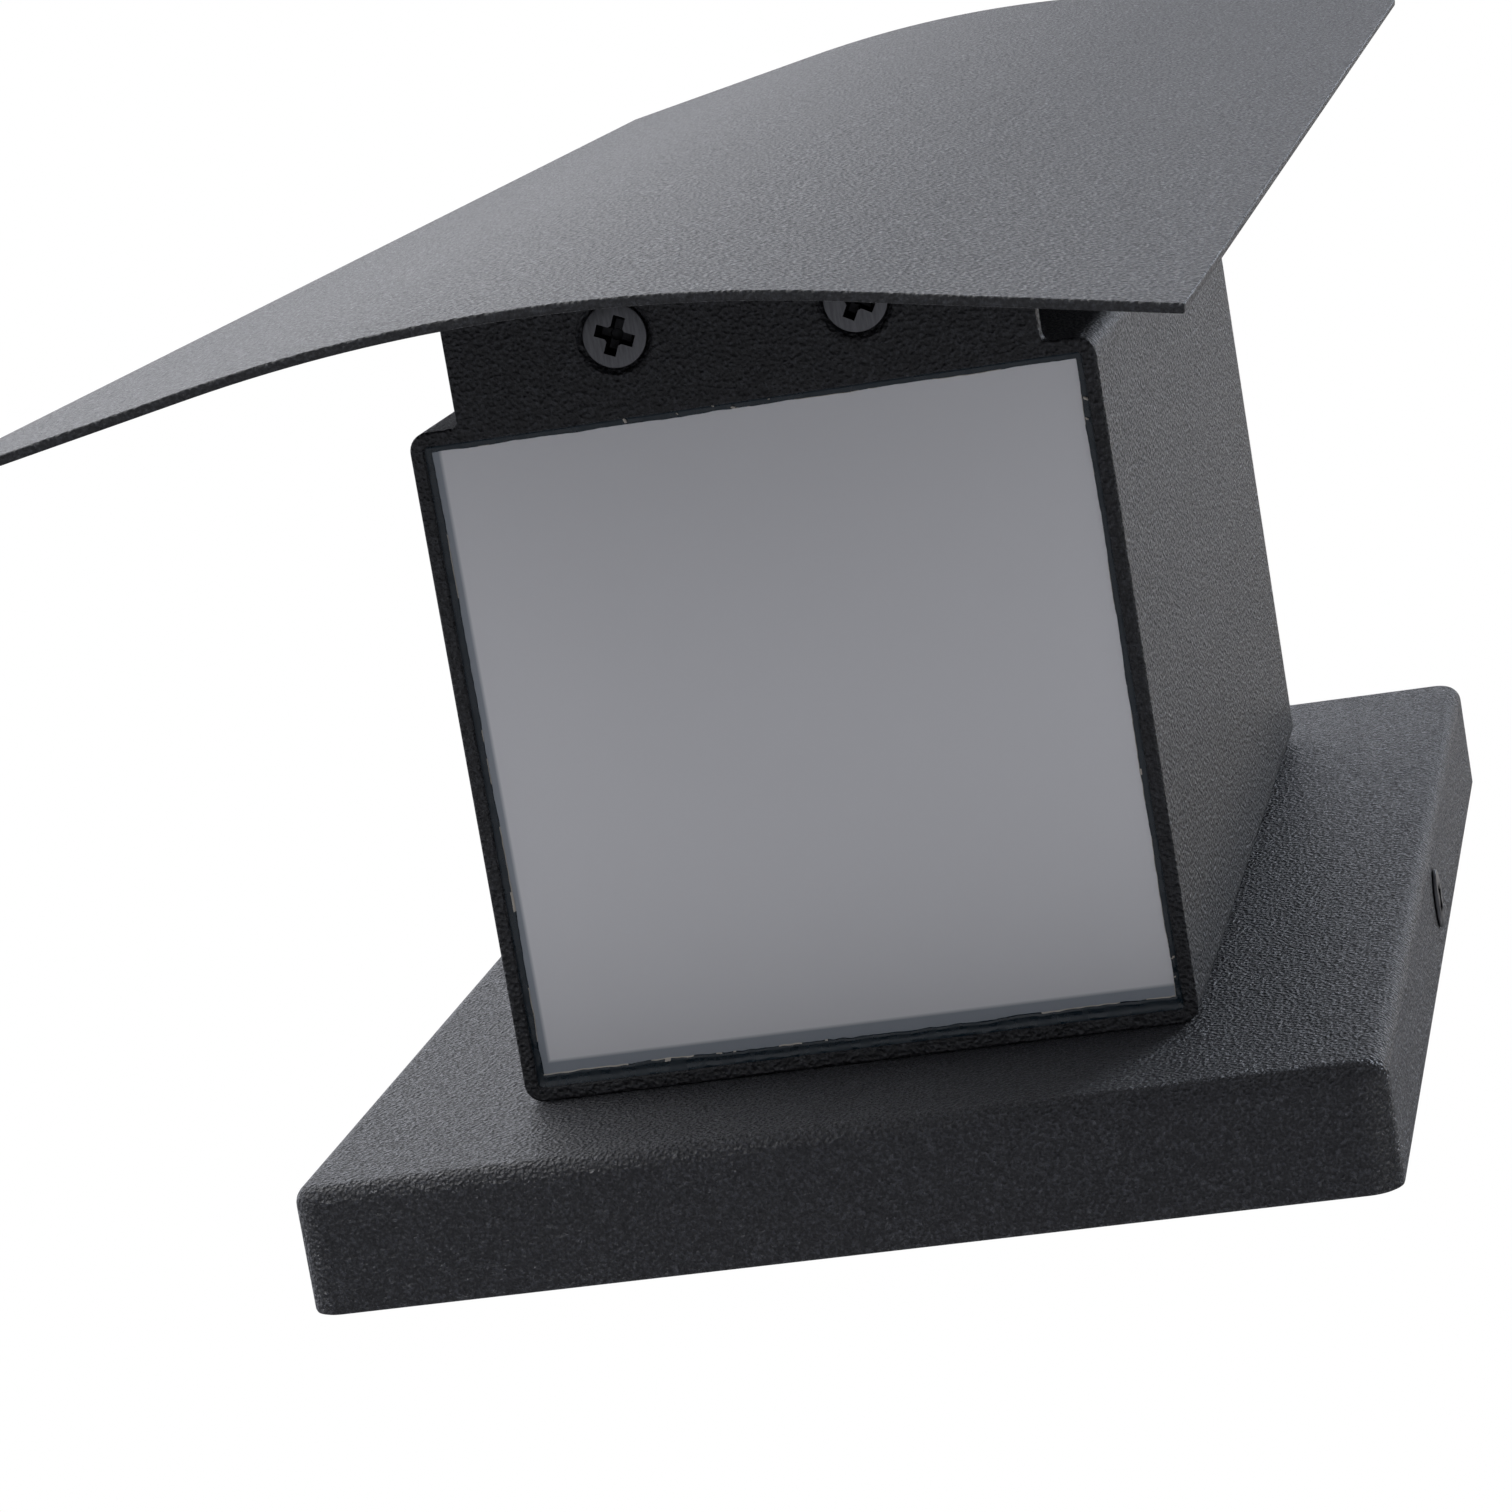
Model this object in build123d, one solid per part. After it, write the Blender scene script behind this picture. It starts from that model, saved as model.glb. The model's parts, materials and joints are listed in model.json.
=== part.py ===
from build123d import *
from math import cos, radians, sin, tan
import os

# Outdoor up and down wall light, in millimetres.
# Origin: on the wall, at the centre of the cover's open back. +Z is up the wall,
# +X is to the right seen from the room side, and -Y is straight out of the wall.
# "Depth" is a distance out of the wall, so a point at depth d lies at y = -d.

# ---- driving dimensions -------------------------------------------------------------
COVER_WIDTH = 125.0
COVER_HEIGHT = 215.0
COVER_DEPTH = 15.0
COVER_WALL = 2.0
COVER_CORNER = 3.8
COVER_EDGE = 2.3

HOUSING_SIZE = 80.0
HOUSING_LENGTH = 160.0
HOUSING_WALL = 3.5
HOUSING_EDGE = 2.2
RIM_WALL = 1.7

DIFFUSER_SIZE = 76.0
DIFFUSER_THICK = 3.0
DIFFUSER_RECESS = 0.8
DIFFUSER_CORNER = 0.8
DIFFUSER_CHAMFER = 0.2
BEAD_WIDTH = 0.8
BEAD_HEIGHT = 0.6
BEAD_SLOPE = 40.0

LUG_WIDTH = 68.0
LUG_THICK = 3.0
LUG_DEPTH = 112.0
LUG_FOOT_RADIUS = 0.8
LUG_TOP_RADIUS = 3.0

SHADE_WIDTH = 125.0
SHADE_LENGTH = 385.0
SHADE_THICK = 1.0
SHADE_DEPTH = 118.2
SHADE_RADIUS = 174.0
SHADE_WING_ANGLE = 10.5

GAP = 0.05  # radial room round a screw, a nut or a wire in its hole

# M4 and M3 screws, drawn without their threads
M4_SHANK = 1.95
M4_HEAD = 3.75
M4_PAN_HEAD = 4.0
M4_PAN_HEIGHT = 2.4
M4_HEAD_LAND = 0.4
M3_SHANK = 1.45
M3_HEAD = 2.75
M3_HEAD_HEIGHT = 1.8
RECESS_LENGTH = 4.7
RECESS_WIDTH = 1.1
RECESS_DEPTH = 1.3
RECESS_TAPER = 18.0
PAN_RECESS = 1.3  # the cross recess of a pan head is this many head radii long
M4_NUT_RADIUS = 4.0
M4_NUT_HEIGHT = 3.2
OVERLAP = 1.0  # how far a boss or a block runs into the wall that it grows from

# ---- sizes worked out from them -----------------------------------------------------
HALF_HOUSING = HOUSING_SIZE / 2
HOUSING_BACK = COVER_DEPTH
HOUSING_FRONT = HOUSING_BACK + HOUSING_SIZE
HOUSING_MID = HOUSING_BACK + HALF_HOUSING
END = HOUSING_LENGTH / 2
INNER_HALF = HALF_HOUSING - HOUSING_WALL
POCKET_HALF = HALF_HOUSING - RIM_WALL
LEDGE = END - DIFFUSER_RECESS - DIFFUSER_THICK
INSIDE_DEPTH = HOUSING_BACK + HOUSING_WALL
COVER_FLOOR = COVER_DEPTH - COVER_WALL
COVER_INNER_X = COVER_WIDTH / 2 - COVER_WALL
COVER_INNER_Z = COVER_HEIGHT / 2 - COVER_WALL

# ---- places of the fasteners and the inner pieces -------------------------------------
LUG_SCREW_X = 14.0
LUG_SCREW_DEPTH = 102.8
LUG_HEAD_SUNK = 0.15
LUG_SCREW_TURNS = (18.0, 25.0)
HOUSING_SCREW_X = 30.0
HOUSING_SCREW_Z = 40.0
HOUSING_BOSS_RADIUS = 4.5
HOUSING_BOSS_DEPTH = 26.0
SIDE_SCREW_DEPTH = COVER_DEPTH / 2
SIDE_HEAD_PROUD = 0.6
LUG_SCREW_LENGTH = 8.0
SIDE_SCREW_LENGTH = 9.0
HOUSING_SCREW_SHORT = 2.0  # from the screw's tip to the bottom of its bore

BRACKET_THICK = 1.5
BRACKET_EAR_OUTER = COVER_INNER_X - 0.3
BRACKET_EAR_DEPTH = 12.0
BRACKET_EAR_HEIGHT = 18.0
BRACKET_BEND = 2.5
STRAP_HEIGHT = 36.0
STRAP_WIDTH = 100.0
SPINE_WIDTH = 24.0
SPINE_HEIGHT = 88.0
SPINE_CORNER = 3.0
SLOT_X = 30.0
SLOT_LENGTH = 14.0
WALL_HOLE_RADIUS = 2.5
WALL_HOLE_Z = 36.0
SUPPLY_HOLE_RADIUS = 9.0
SUPPLY_BORE_RADIUS = 4.5
BUSH_FLANGE = 2.0

LEAD_HOLE_RADIUS = 6.0
LEAD_BORE_RADIUS = 3.0
LEAD_HOLE_Z = 46.0
LEAD_RADIUS = 1.2
LEAD_SPREAD = 1.4
LEAD_END = 1.5  # from the block's middle to the leads' ends
LEAD_BEND_RISE = 9.0  # above the grommet, where the mains leads start to lean
EARTH_BEND_RISE = 4.0
EARTH_BEND_SHIFT = 1.2
BUSH_LIP = 1.5
BUSH_LIP_REACH = 1.0

BLOCK_Z = 70.0
BLOCK_SIZE = (32.0, 10.5, 17.0)
BLOCK_EDGE = 1.0
GROOVE_WIDTH = 1.0
GROOVE_DEPTH = 1.5
POLE_PITCH = 10.0
POLE_DEPTH = 7.4
CLAMP_OUTER = 2.5
CLAMP_INNER = 1.5
CLAMP_LENGTH = 14.0
CLAMP_SCREW_Z = 4.2
CLAMP_SCREW_RADIUS = 1.2
CLAMP_HEAD_RADIUS = 1.7
CLAMP_HEAD_DEPTH = 3.2
CLAMP_HEAD_HEIGHT = 1.0
DRIVER_SLOT = 0.6

EARTH_X = 25.0
EARTH_Z = 53.0
EARTH_BOSS_RADIUS = 4.5
EARTH_BOSS_DEPTH = 11.0
EARTH_SCREW_END = 14.0
RING_RADIUS = 3.6
RING_THICK = 0.8
BARREL_RADIUS = 1.7
BARREL_LENGTH = 6.0
BARREL_START = 1.3 * RING_RADIUS  # from the ring's middle

PLATE_HALF = 36.2
PLATE_THICK = 2.0
PLATE_INNER_Z = 58.0
PLATE_SCREW = 31.5
PLATE_SCREW_LENGTH = 8.0
PLATE_OUTER_Z = PLATE_INNER_Z + PLATE_THICK
CORNER_BLOCK_INNER = 27.0
CORNER_BLOCK_LENGTH = 10.0
WIRE_HOLE_X = 31.3
WIRE_HOLE_RADIUS = 1.8
BOARD_HALF = 28.0
BOARD_THICK = 1.6
BOARD_SCREW = 24.0
BOARD_SCREW_LENGTH = 4.6
BOARD_Z = PLATE_OUTER_Z + BOARD_THICK
CHIP_PITCH = 12.0
CHIPS_PER_SIDE = 4
CHIP_SIZE = (3.0, 2.8, 0.7)
CONNECTOR_SIZE = (5.0, 5.0, 3.6)
CONNECTOR_X = 24.7
MIXER_HALF = 36.2
MIXER_WALL = 1.2
MIXER_CORNER = 1.0
MIXER_ROOM = 0.1

DRIVER_SIZE = (52.0, 40.0, 24.0)
DRIVER_EDGE = 1.5
DRIVER_EAR_LENGTH = 8.0
DRIVER_EAR_WIDTH = 12.0
DRIVER_EAR_THICK = 2.0
LED_LEAD_RADIUS = 1.0
LED_LEAD_DROP = 14.0  # below the plate, where the upper lead leaves the driver
LED_LEAD_INSIDE = 0.2  # from the lead's end to the connector's middle
LOWER_LEAD_X = 18.0
LOWER_LEAD_BENDS = (8.0, -22.0)

BRACE_HALF = 33.0
BRACE_THICK = 2.0
BRACE_START = 98.0
BRACE_FOOT = 17.0
NUT_RADIUS = 3.6
NUT_HEIGHT = 4.0
NUT_COLLAR_RADIUS = 2.7

SEAL_WIDTH = 3.0
SEAL_DEPTH = 2.5
EAR_ROOM = 11.0
DRAIN_GAP = 24.0
SEAL_PAST_DRAIN = 4 * SEAL_WIDTH
GASKET_HALF_X = 35.5
GASKET_HALF_Z = 74.5
GASKET_WIDTH = 2.0
GASKET_DEPTH = 1.2


# ---- helpers --------------------------------------------------------------------------
def out_of_wall(depth):
    """The plane parallel to the wall at this depth: its x is +X, its y is +Z, its normal is -Y."""
    return Plane.XZ.offset(depth)


def slab(outline, depth_from, depth_to):
    """An outline drawn in X and Z, solid between two depths."""
    return extrude(out_of_wall(depth_from) * outline, amount=depth_to - depth_from)


def column(outline, z_from, z_to):
    """An outline drawn in X and Y, solid between two heights."""
    return extrude(Plane.XY.offset(z_from) * outline, amount=z_to - z_from)


def brick(x_from, x_to, depth_from, depth_to, z_from, z_to):
    """A plain block between six planes."""
    size = (x_to - x_from, depth_to - depth_from, z_to - z_from)
    middle = ((x_from + x_to) / 2, -(depth_from + depth_to) / 2, (z_from + z_to) / 2)
    return Pos(*middle) * Box(*size)


def tube_outline(half_outer, half_inner, corner):
    """A square frame round the middle line of the housing, drawn in X and Y."""
    outer = RectangleRounded(2 * half_outer, 2 * half_outer, corner)
    inner = Rectangle(2 * half_inner, 2 * half_inner)
    return Pos(0, -HOUSING_MID) * (outer - inner)


def square(half):
    """A plain square on the middle line of the housing, drawn in X and Y."""
    return Pos(0, -HOUSING_MID) * Rectangle(2 * half, 2 * half)


def corners(reach_x, reach_y):
    """The four points of a rectangle centred on zero."""
    return [(sx * reach_x, sy * reach_y) for sx in (-1, 1) for sy in (-1, 1)]


def cross_recess(length=RECESS_LENGTH, turn=0.0):
    """A cross recess as a tool that sinks below the XY plane."""
    cross = Rectangle(length, RECESS_WIDTH) + Rectangle(RECESS_WIDTH, length) + Circle(RECESS_WIDTH)
    return Rot(0, 0, turn) * extrude(cross, amount=-RECESS_DEPTH, taper=RECESS_TAPER)


def flat_head_screw(length, turn=0.0):
    """A countersunk screw, its head's face on the XY plane and its shank along -Z."""
    cone = M4_HEAD - M4_SHANK
    head = Pos(0, 0, -M4_HEAD_LAND / 2) * Cylinder(M4_HEAD, M4_HEAD_LAND)
    neck = Pos(0, 0, -M4_HEAD_LAND - cone / 2) * Cone(M4_SHANK, M4_HEAD, cone)
    shank = Pos(0, 0, -(M4_HEAD_LAND + length) / 2) * Cylinder(M4_SHANK, length - M4_HEAD_LAND)
    return head + neck + shank - cross_recess(turn=turn)


def countersink(sunk, through):
    """The hole for a countersunk screw whose head is sunk below the XY plane, as a tool along -Z."""
    bore = M4_SHANK + GAP
    mouth = M4_HEAD + GAP + M4_HEAD_LAND + sunk
    cone = mouth - bore
    sink = Pos(0, 0, -cone / 2) * Cone(bore, mouth, cone)
    return sink + Pos(0, 0, -through / 2) * Cylinder(bore, through)


def pan_head_screw(shank_radius, head_radius, head_height, length):
    """A pan head screw, the underside of its head on the XY plane and its shank along -Z."""
    head = Pos(0, 0, head_height / 2) * Cylinder(head_radius, head_height)
    head = fillet(head.edges().group_by(Axis.Z)[-1], head_height / 2)
    shank = Pos(0, 0, -length / 2) * Cylinder(shank_radius, length)
    recess = Pos(0, 0, head_height) * cross_recess(length=PAN_RECESS * head_radius)
    return head + shank - recess


def facing_wall(x, depth, z):
    """Where a screw's +Z turns to point at the wall."""
    return Pos(x, -depth, z) * Rot(-90, 0, 0)


def side_on(x, depth, z, side):
    """Where a screw's +Z turns to point out of the cover's left (-1) or right (+1) side."""
    return Pos(x, -depth, z) * Rot(0, 90 * side, 0)


def end_on(x, depth, z, side):
    """Where a screw's +Z turns to point down (-1) or up (+1)."""
    flip = 180 if side < 0 else 0
    return Pos(x, -depth, z) * Rot(flip, 0, 0)


def wire(points, radii, radius):
    """A round wire through points given as (x, depth, z), its corners rounded by arcs."""
    route = FilletPolyline(*[(x, -depth, z) for x, depth, z in points], radius=radii)
    return sweep(Plane(route @ 0, z_dir=route % 0) * Circle(radius), path=route)


def widest_arc(points):
    """For each inner corner of a route, 0.45 of its shorter run over the tangent of half the turn."""
    found = []
    for before, here, after in zip(points, points[1:], points[2:]):
        run_in = Vector(*here) - Vector(*before)
        run_out = Vector(*after) - Vector(*here)
        shorter = min(run_in.length, run_out.length)
        found.append(0.45 * shorter / tan(radians(run_in.get_angle(run_out) / 2)))
    return found


# ---- the shade's curve ------------------------------------------------------------------
def shade_point(x, layer):
    """A point on the shade's section, with layer 0 on its face and 1 on its back."""
    radius = SHADE_RADIUS - layer * SHADE_THICK
    centre_depth = SHADE_DEPTH - SHADE_RADIUS
    slope = radians(SHADE_WING_ANGLE)
    bend_x = radius * sin(slope)
    if abs(x) <= bend_x:
        return (x, -(centre_depth + (radius**2 - x**2) ** 0.5))
    return (x, -(centre_depth + radius * cos(slope) - (abs(x) - bend_x) * tan(slope)))


def shade_curve(half_width, layer):
    """Half arc, half wing on each side: the line of the shade from -x to +x, as three edges."""
    bend_x = (SHADE_RADIUS - layer * SHADE_THICK) * sin(radians(SHADE_WING_ANGLE))
    reach = [shade_point(x, layer) for x in (-half_width, -bend_x, 0, bend_x, half_width)]
    return [
        Line(reach[0], reach[1]),
        ThreePointArc(reach[1], reach[2], reach[3]),
        Line(reach[3], reach[4]),
    ]


def between_curves(half_width, outer_layer, inner_layer):
    """The strip between two lines that follow the shade, drawn in X and Y."""
    ends = [
        Line(shade_point(side * half_width, outer_layer), shade_point(side * half_width, inner_layer))
        for side in (-1, 1)
    ]
    edges = shade_curve(half_width, outer_layer) + shade_curve(half_width, inner_layer)
    return make_face(Wire(edges + ends))


# ---- against the wall ---------------------------------------------------------------------
def make_wall_bracket():
    """A bent strip with slots for wall screws, and two ears that take the cover's side screws."""
    plate = slab(Rectangle(STRAP_WIDTH, STRAP_HEIGHT), 0, BRACKET_THICK)
    plate += slab(RectangleRounded(SPINE_WIDTH, SPINE_HEIGHT, SPINE_CORNER), 0, BRACKET_THICK)
    outer = Rectangle(2 * BRACKET_EAR_OUTER, 2 * BRACKET_EAR_DEPTH)
    outer = fillet(outer.vertices(), BRACKET_BEND)
    inner_half = BRACKET_EAR_OUTER - BRACKET_THICK
    inner = Rectangle(2 * inner_half, 2 * (BRACKET_EAR_DEPTH - BRACKET_THICK))
    inner = fillet(inner.vertices(), BRACKET_BEND - BRACKET_THICK)
    strip = Pos(0, -BRACKET_EAR_DEPTH) * (outer - inner)
    strip &= Pos(0, -BRACKET_EAR_DEPTH / 2) * Rectangle(COVER_WIDTH, BRACKET_EAR_DEPTH)
    plate += column(strip, -BRACKET_EAR_HEIGHT / 2, BRACKET_EAR_HEIGHT / 2)
    for side in (-1, 1):
        slot = Pos(side * SLOT_X, 0) * SlotOverall(SLOT_LENGTH, 2 * WALL_HOLE_RADIUS)
        plate -= slab(slot, 0, BRACKET_THICK)
        hole = Pos(0, side * WALL_HOLE_Z) * Circle(WALL_HOLE_RADIUS)
        plate -= slab(hole, 0, BRACKET_THICK)
        ear_hole = side_on(side * BRACKET_EAR_OUTER, SIDE_SCREW_DEPTH, 0, side)
        plate -= ear_hole * Cylinder(M4_SHANK + GAP, 4 * BRACKET_THICK)
    return plate - slab(Circle(SUPPLY_HOLE_RADIUS), 0, BRACKET_THICK)


def make_bracket_nuts():
    """Hexagon nuts welded inside the bracket's ears."""
    outline = RegularPolygon(M4_NUT_RADIUS, 6) - Circle(M4_SHANK + GAP)
    nut = extrude(outline, amount=-M4_NUT_HEIGHT)
    at = BRACKET_EAR_OUTER - BRACKET_THICK
    return [side_on(side * at, SIDE_SCREW_DEPTH, 0, side) * nut for side in (-1, 1)]


def make_supply_grommet():
    """A rubber bush in the bracket's middle, which the supply cable comes through."""
    body = slab(Circle(SUPPLY_HOLE_RADIUS), 0, BRACKET_THICK)
    top = BRACKET_THICK + BUSH_FLANGE
    flange = slab(Circle(SUPPLY_HOLE_RADIUS + BUSH_FLANGE), BRACKET_THICK, top)
    return body + flange - slab(Circle(SUPPLY_BORE_RADIUS), 0, top)


def make_rim_seal():
    """A foam strip inside the cover's rim, cut out at the bracket's ears and at the drain."""
    outer = Rectangle(2 * COVER_INNER_X, 2 * COVER_INNER_Z)
    inner = Rectangle(2 * (COVER_INNER_X - SEAL_WIDTH), 2 * (COVER_INNER_Z - SEAL_WIDTH))
    outline = fillet(outer.vertices(), COVER_CORNER - COVER_WALL) - inner
    outline -= Rectangle(COVER_WIDTH, 2 * EAR_ROOM)
    outline -= Pos(0, -COVER_INNER_Z) * Rectangle(DRAIN_GAP, SEAL_PAST_DRAIN)
    return slab(outline, 0, SEAL_DEPTH)


def make_mounting_cover():
    """A die-cast tray with rounded edges, open to the wall, that carries the housing."""
    tray = slab(RectangleRounded(COVER_WIDTH, COVER_HEIGHT, COVER_CORNER), 0, COVER_DEPTH)
    tray = fillet(tray.faces().sort_by(Axis.Y)[0].edges(), COVER_EDGE)
    hollow = RectangleRounded(2 * COVER_INNER_X, 2 * COVER_INNER_Z, COVER_CORNER - COVER_WALL)
    tray -= slab(hollow, 0, COVER_FLOOR)
    boss = Pos(EARTH_X, EARTH_Z) * Circle(EARTH_BOSS_RADIUS)
    tray += slab(boss, EARTH_BOSS_DEPTH, COVER_FLOOR + OVERLAP)
    for x, z in corners(HOUSING_SCREW_X, HOUSING_SCREW_Z):
        tray -= slab(Pos(x, z) * Circle(M4_SHANK + GAP), 0, COVER_DEPTH)
    tray -= slab(Pos(0, LEAD_HOLE_Z) * Circle(LEAD_HOLE_RADIUS), 0, COVER_DEPTH)
    tray -= slab(Pos(EARTH_X, EARTH_Z) * Circle(M4_SHANK + GAP), 0, EARTH_SCREW_END)
    for side in (-1, 1):
        place = side_on(side * COVER_WIDTH / 2, SIDE_SCREW_DEPTH, 0, side)
        tray -= place * countersink(-SIDE_HEAD_PROUD, 2 * COVER_WALL)
    return tray


def make_cover_screws():
    """The two countersunk screws in the cover's sides."""
    at = COVER_WIDTH / 2 + SIDE_HEAD_PROUD
    screw = flat_head_screw(SIDE_SCREW_LENGTH)
    return [side_on(side * at, SIDE_SCREW_DEPTH, 0, side) * screw for side in (-1, 1)]


# ---- wiring in the cover --------------------------------------------------------------------
def clamp_screw_places(pole):
    """The middles of the two screws of this pole, in X and Z."""
    return [Pos(pole * POLE_PITCH, BLOCK_Z + side * CLAMP_SCREW_Z) for side in (-1, 1)]


def make_terminal_block():
    """The insulating body of a three pole block, with a bore for each pole and its two screws."""
    width, depth, height = BLOCK_SIZE
    body = brick(-width / 2, width / 2, COVER_FLOOR - depth, COVER_FLOOR,
                 BLOCK_Z - height / 2, BLOCK_Z + height / 2)
    body = fillet(body.edges().filter_by(Axis.Y), BLOCK_EDGE)
    for pole in (-1, 0, 1):
        bore = Pos(pole * POLE_PITCH, -POLE_DEPTH) * Circle(CLAMP_OUTER + GAP)
        body -= column(bore, BLOCK_Z - height, BLOCK_Z + height)
        for place in clamp_screw_places(pole):
            body -= slab(place * Circle(CLAMP_HEAD_RADIUS + GAP), 0, POLE_DEPTH)
    for side in (-1, 1):
        groove = Pos(side * POLE_PITCH / 2, BLOCK_Z) * Rectangle(GROOVE_WIDTH, height)
        body -= slab(groove, COVER_FLOOR - depth, COVER_FLOOR - depth + GROOVE_DEPTH)
    return body


def make_terminal_clamps():
    """A brass tube for each pole, which the wires are pushed into."""
    clamps = []
    for pole in (-1, 0, 1):
        ring = Pos(pole * POLE_PITCH, -POLE_DEPTH) * (Circle(CLAMP_OUTER) - Circle(CLAMP_INNER))
        clamp = column(ring, BLOCK_Z - CLAMP_LENGTH / 2, BLOCK_Z + CLAMP_LENGTH / 2)
        for place in clamp_screw_places(pole):
            clamp -= slab(place * Circle(CLAMP_SCREW_RADIUS + GAP), 0, POLE_DEPTH)
        clamps.append(clamp)
    return clamps


def make_terminal_screws():
    """Two slotted screws for each clamp."""
    screws = []
    shoulder = CLAMP_HEAD_DEPTH + CLAMP_HEAD_HEIGHT
    tip = POLE_DEPTH - CLAMP_INNER
    slot = Rectangle(3 * CLAMP_HEAD_RADIUS, DRIVER_SLOT)
    for pole in (-1, 0, 1):
        for place in clamp_screw_places(pole):
            screw = slab(place * Circle(CLAMP_HEAD_RADIUS), CLAMP_HEAD_DEPTH, shoulder)
            screw += slab(place * Circle(CLAMP_SCREW_RADIUS), shoulder, tip)
            screw -= slab(place * slot, CLAMP_HEAD_DEPTH, CLAMP_HEAD_DEPTH + DRIVER_SLOT)
            screws.append(screw)
    return screws


def make_earth_ring():
    """A crimped ring terminal, flat under the earth screw, with its barrel towards the block."""
    face = EARTH_BOSS_DEPTH - RING_THICK
    ring = Pos(EARTH_X, EARTH_Z) * Circle(RING_RADIUS)
    ring += Pos(EARTH_X - RING_RADIUS, EARTH_Z) * Rectangle(2 * RING_RADIUS, 2 * BARREL_RADIUS)
    ring -= Pos(EARTH_X, EARTH_Z) * Circle(M4_SHANK + GAP)
    tongue = slab(ring, face, EARTH_BOSS_DEPTH)
    barrel_end = EARTH_X - BARREL_START
    barrel = Cylinder(BARREL_RADIUS, BARREL_LENGTH) - Cylinder(LEAD_RADIUS + GAP, BARREL_LENGTH)
    middle = Pos(barrel_end - BARREL_LENGTH / 2, -(EARTH_BOSS_DEPTH - BARREL_RADIUS), EARTH_Z)
    return tongue + middle * Rot(0, 90, 0) * barrel


def make_earth_screw():
    """The screw that clamps the ring terminal to the cover."""
    length = EARTH_SCREW_END - EARTH_BOSS_DEPTH + RING_THICK
    screw = pan_head_screw(M4_SHANK, RING_RADIUS, M4_PAN_HEIGHT, length)
    return facing_wall(EARTH_X, EARTH_BOSS_DEPTH - RING_THICK, EARTH_Z) * screw


def make_lead_grommet():
    """A rubber bush through the cover and the housing's back, round the two mains leads."""
    inner_end = INSIDE_DEPTH + BUSH_LIP
    body = slab(Circle(LEAD_HOLE_RADIUS), COVER_FLOOR, INSIDE_DEPTH)
    body += slab(Circle(LEAD_HOLE_RADIUS + BUSH_FLANGE), COVER_FLOOR - BUSH_LIP, COVER_FLOOR)
    body += slab(Circle(LEAD_HOLE_RADIUS + BUSH_LIP_REACH), INSIDE_DEPTH, inner_end)
    body -= slab(Circle(LEAD_BORE_RADIUS), 0, inner_end)
    return Pos(0, 0, LEAD_HOLE_Z) * body


def make_supply_lead(pole, side):
    """A lead from one pole of the block, through the grommet, to the driver."""
    driver_face = HOUSING_MID - DRIVER_SIZE[1] / 2
    points = [
        (pole * POLE_PITCH, POLE_DEPTH, BLOCK_Z - LEAD_END),
        (pole * POLE_PITCH, POLE_DEPTH, LEAD_HOLE_Z + LEAD_BEND_RISE),
        (side * LEAD_SPREAD, POLE_DEPTH, LEAD_HOLE_Z),
        (side * LEAD_SPREAD, driver_face, LEAD_HOLE_Z),
    ]
    return wire(points, widest_arc(points), LEAD_RADIUS)


def make_earth_lead():
    """The lead from the third pole to the ring terminal's barrel."""
    barrel_mouth = EARTH_X - BARREL_START - BARREL_LENGTH
    barrel_depth = EARTH_BOSS_DEPTH - BARREL_RADIUS
    points = [
        (POLE_PITCH, POLE_DEPTH, BLOCK_Z - LEAD_END),
        (POLE_PITCH, POLE_DEPTH, EARTH_Z + EARTH_BEND_RISE),
        (POLE_PITCH + EARTH_BEND_SHIFT, barrel_depth, EARTH_Z),
        (barrel_mouth + BARREL_LENGTH / 2, barrel_depth, EARTH_Z),
    ]
    return wire(points, widest_arc(points), LEAD_RADIUS)


# ---- housing ---------------------------------------------------------------------------------
def end_layer():
    """The housing's end seen square on: its outline with the lug grown out of its front wall."""
    body = Pos(0, -HOUSING_MID) * RectangleRounded(HOUSING_SIZE, HOUSING_SIZE, HOUSING_EDGE)
    start = HOUSING_FRONT - RIM_WALL
    lug = Pos(0, -(start + LUG_DEPTH) / 2) * Rectangle(LUG_WIDTH, LUG_DEPTH - start)
    lug = fillet(lug.vertices().group_by(Axis.Y)[0], LUG_TOP_RADIUS)
    outline = body + lug
    on_front = [v for v in outline.vertices() if abs(v.Y + HOUSING_FRONT) < GAP]
    foot = [v for v in on_front if abs(v.X) < LUG_WIDTH / 2 + GAP]
    return fillet(foot, LUG_FOOT_RADIUS)


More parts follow.
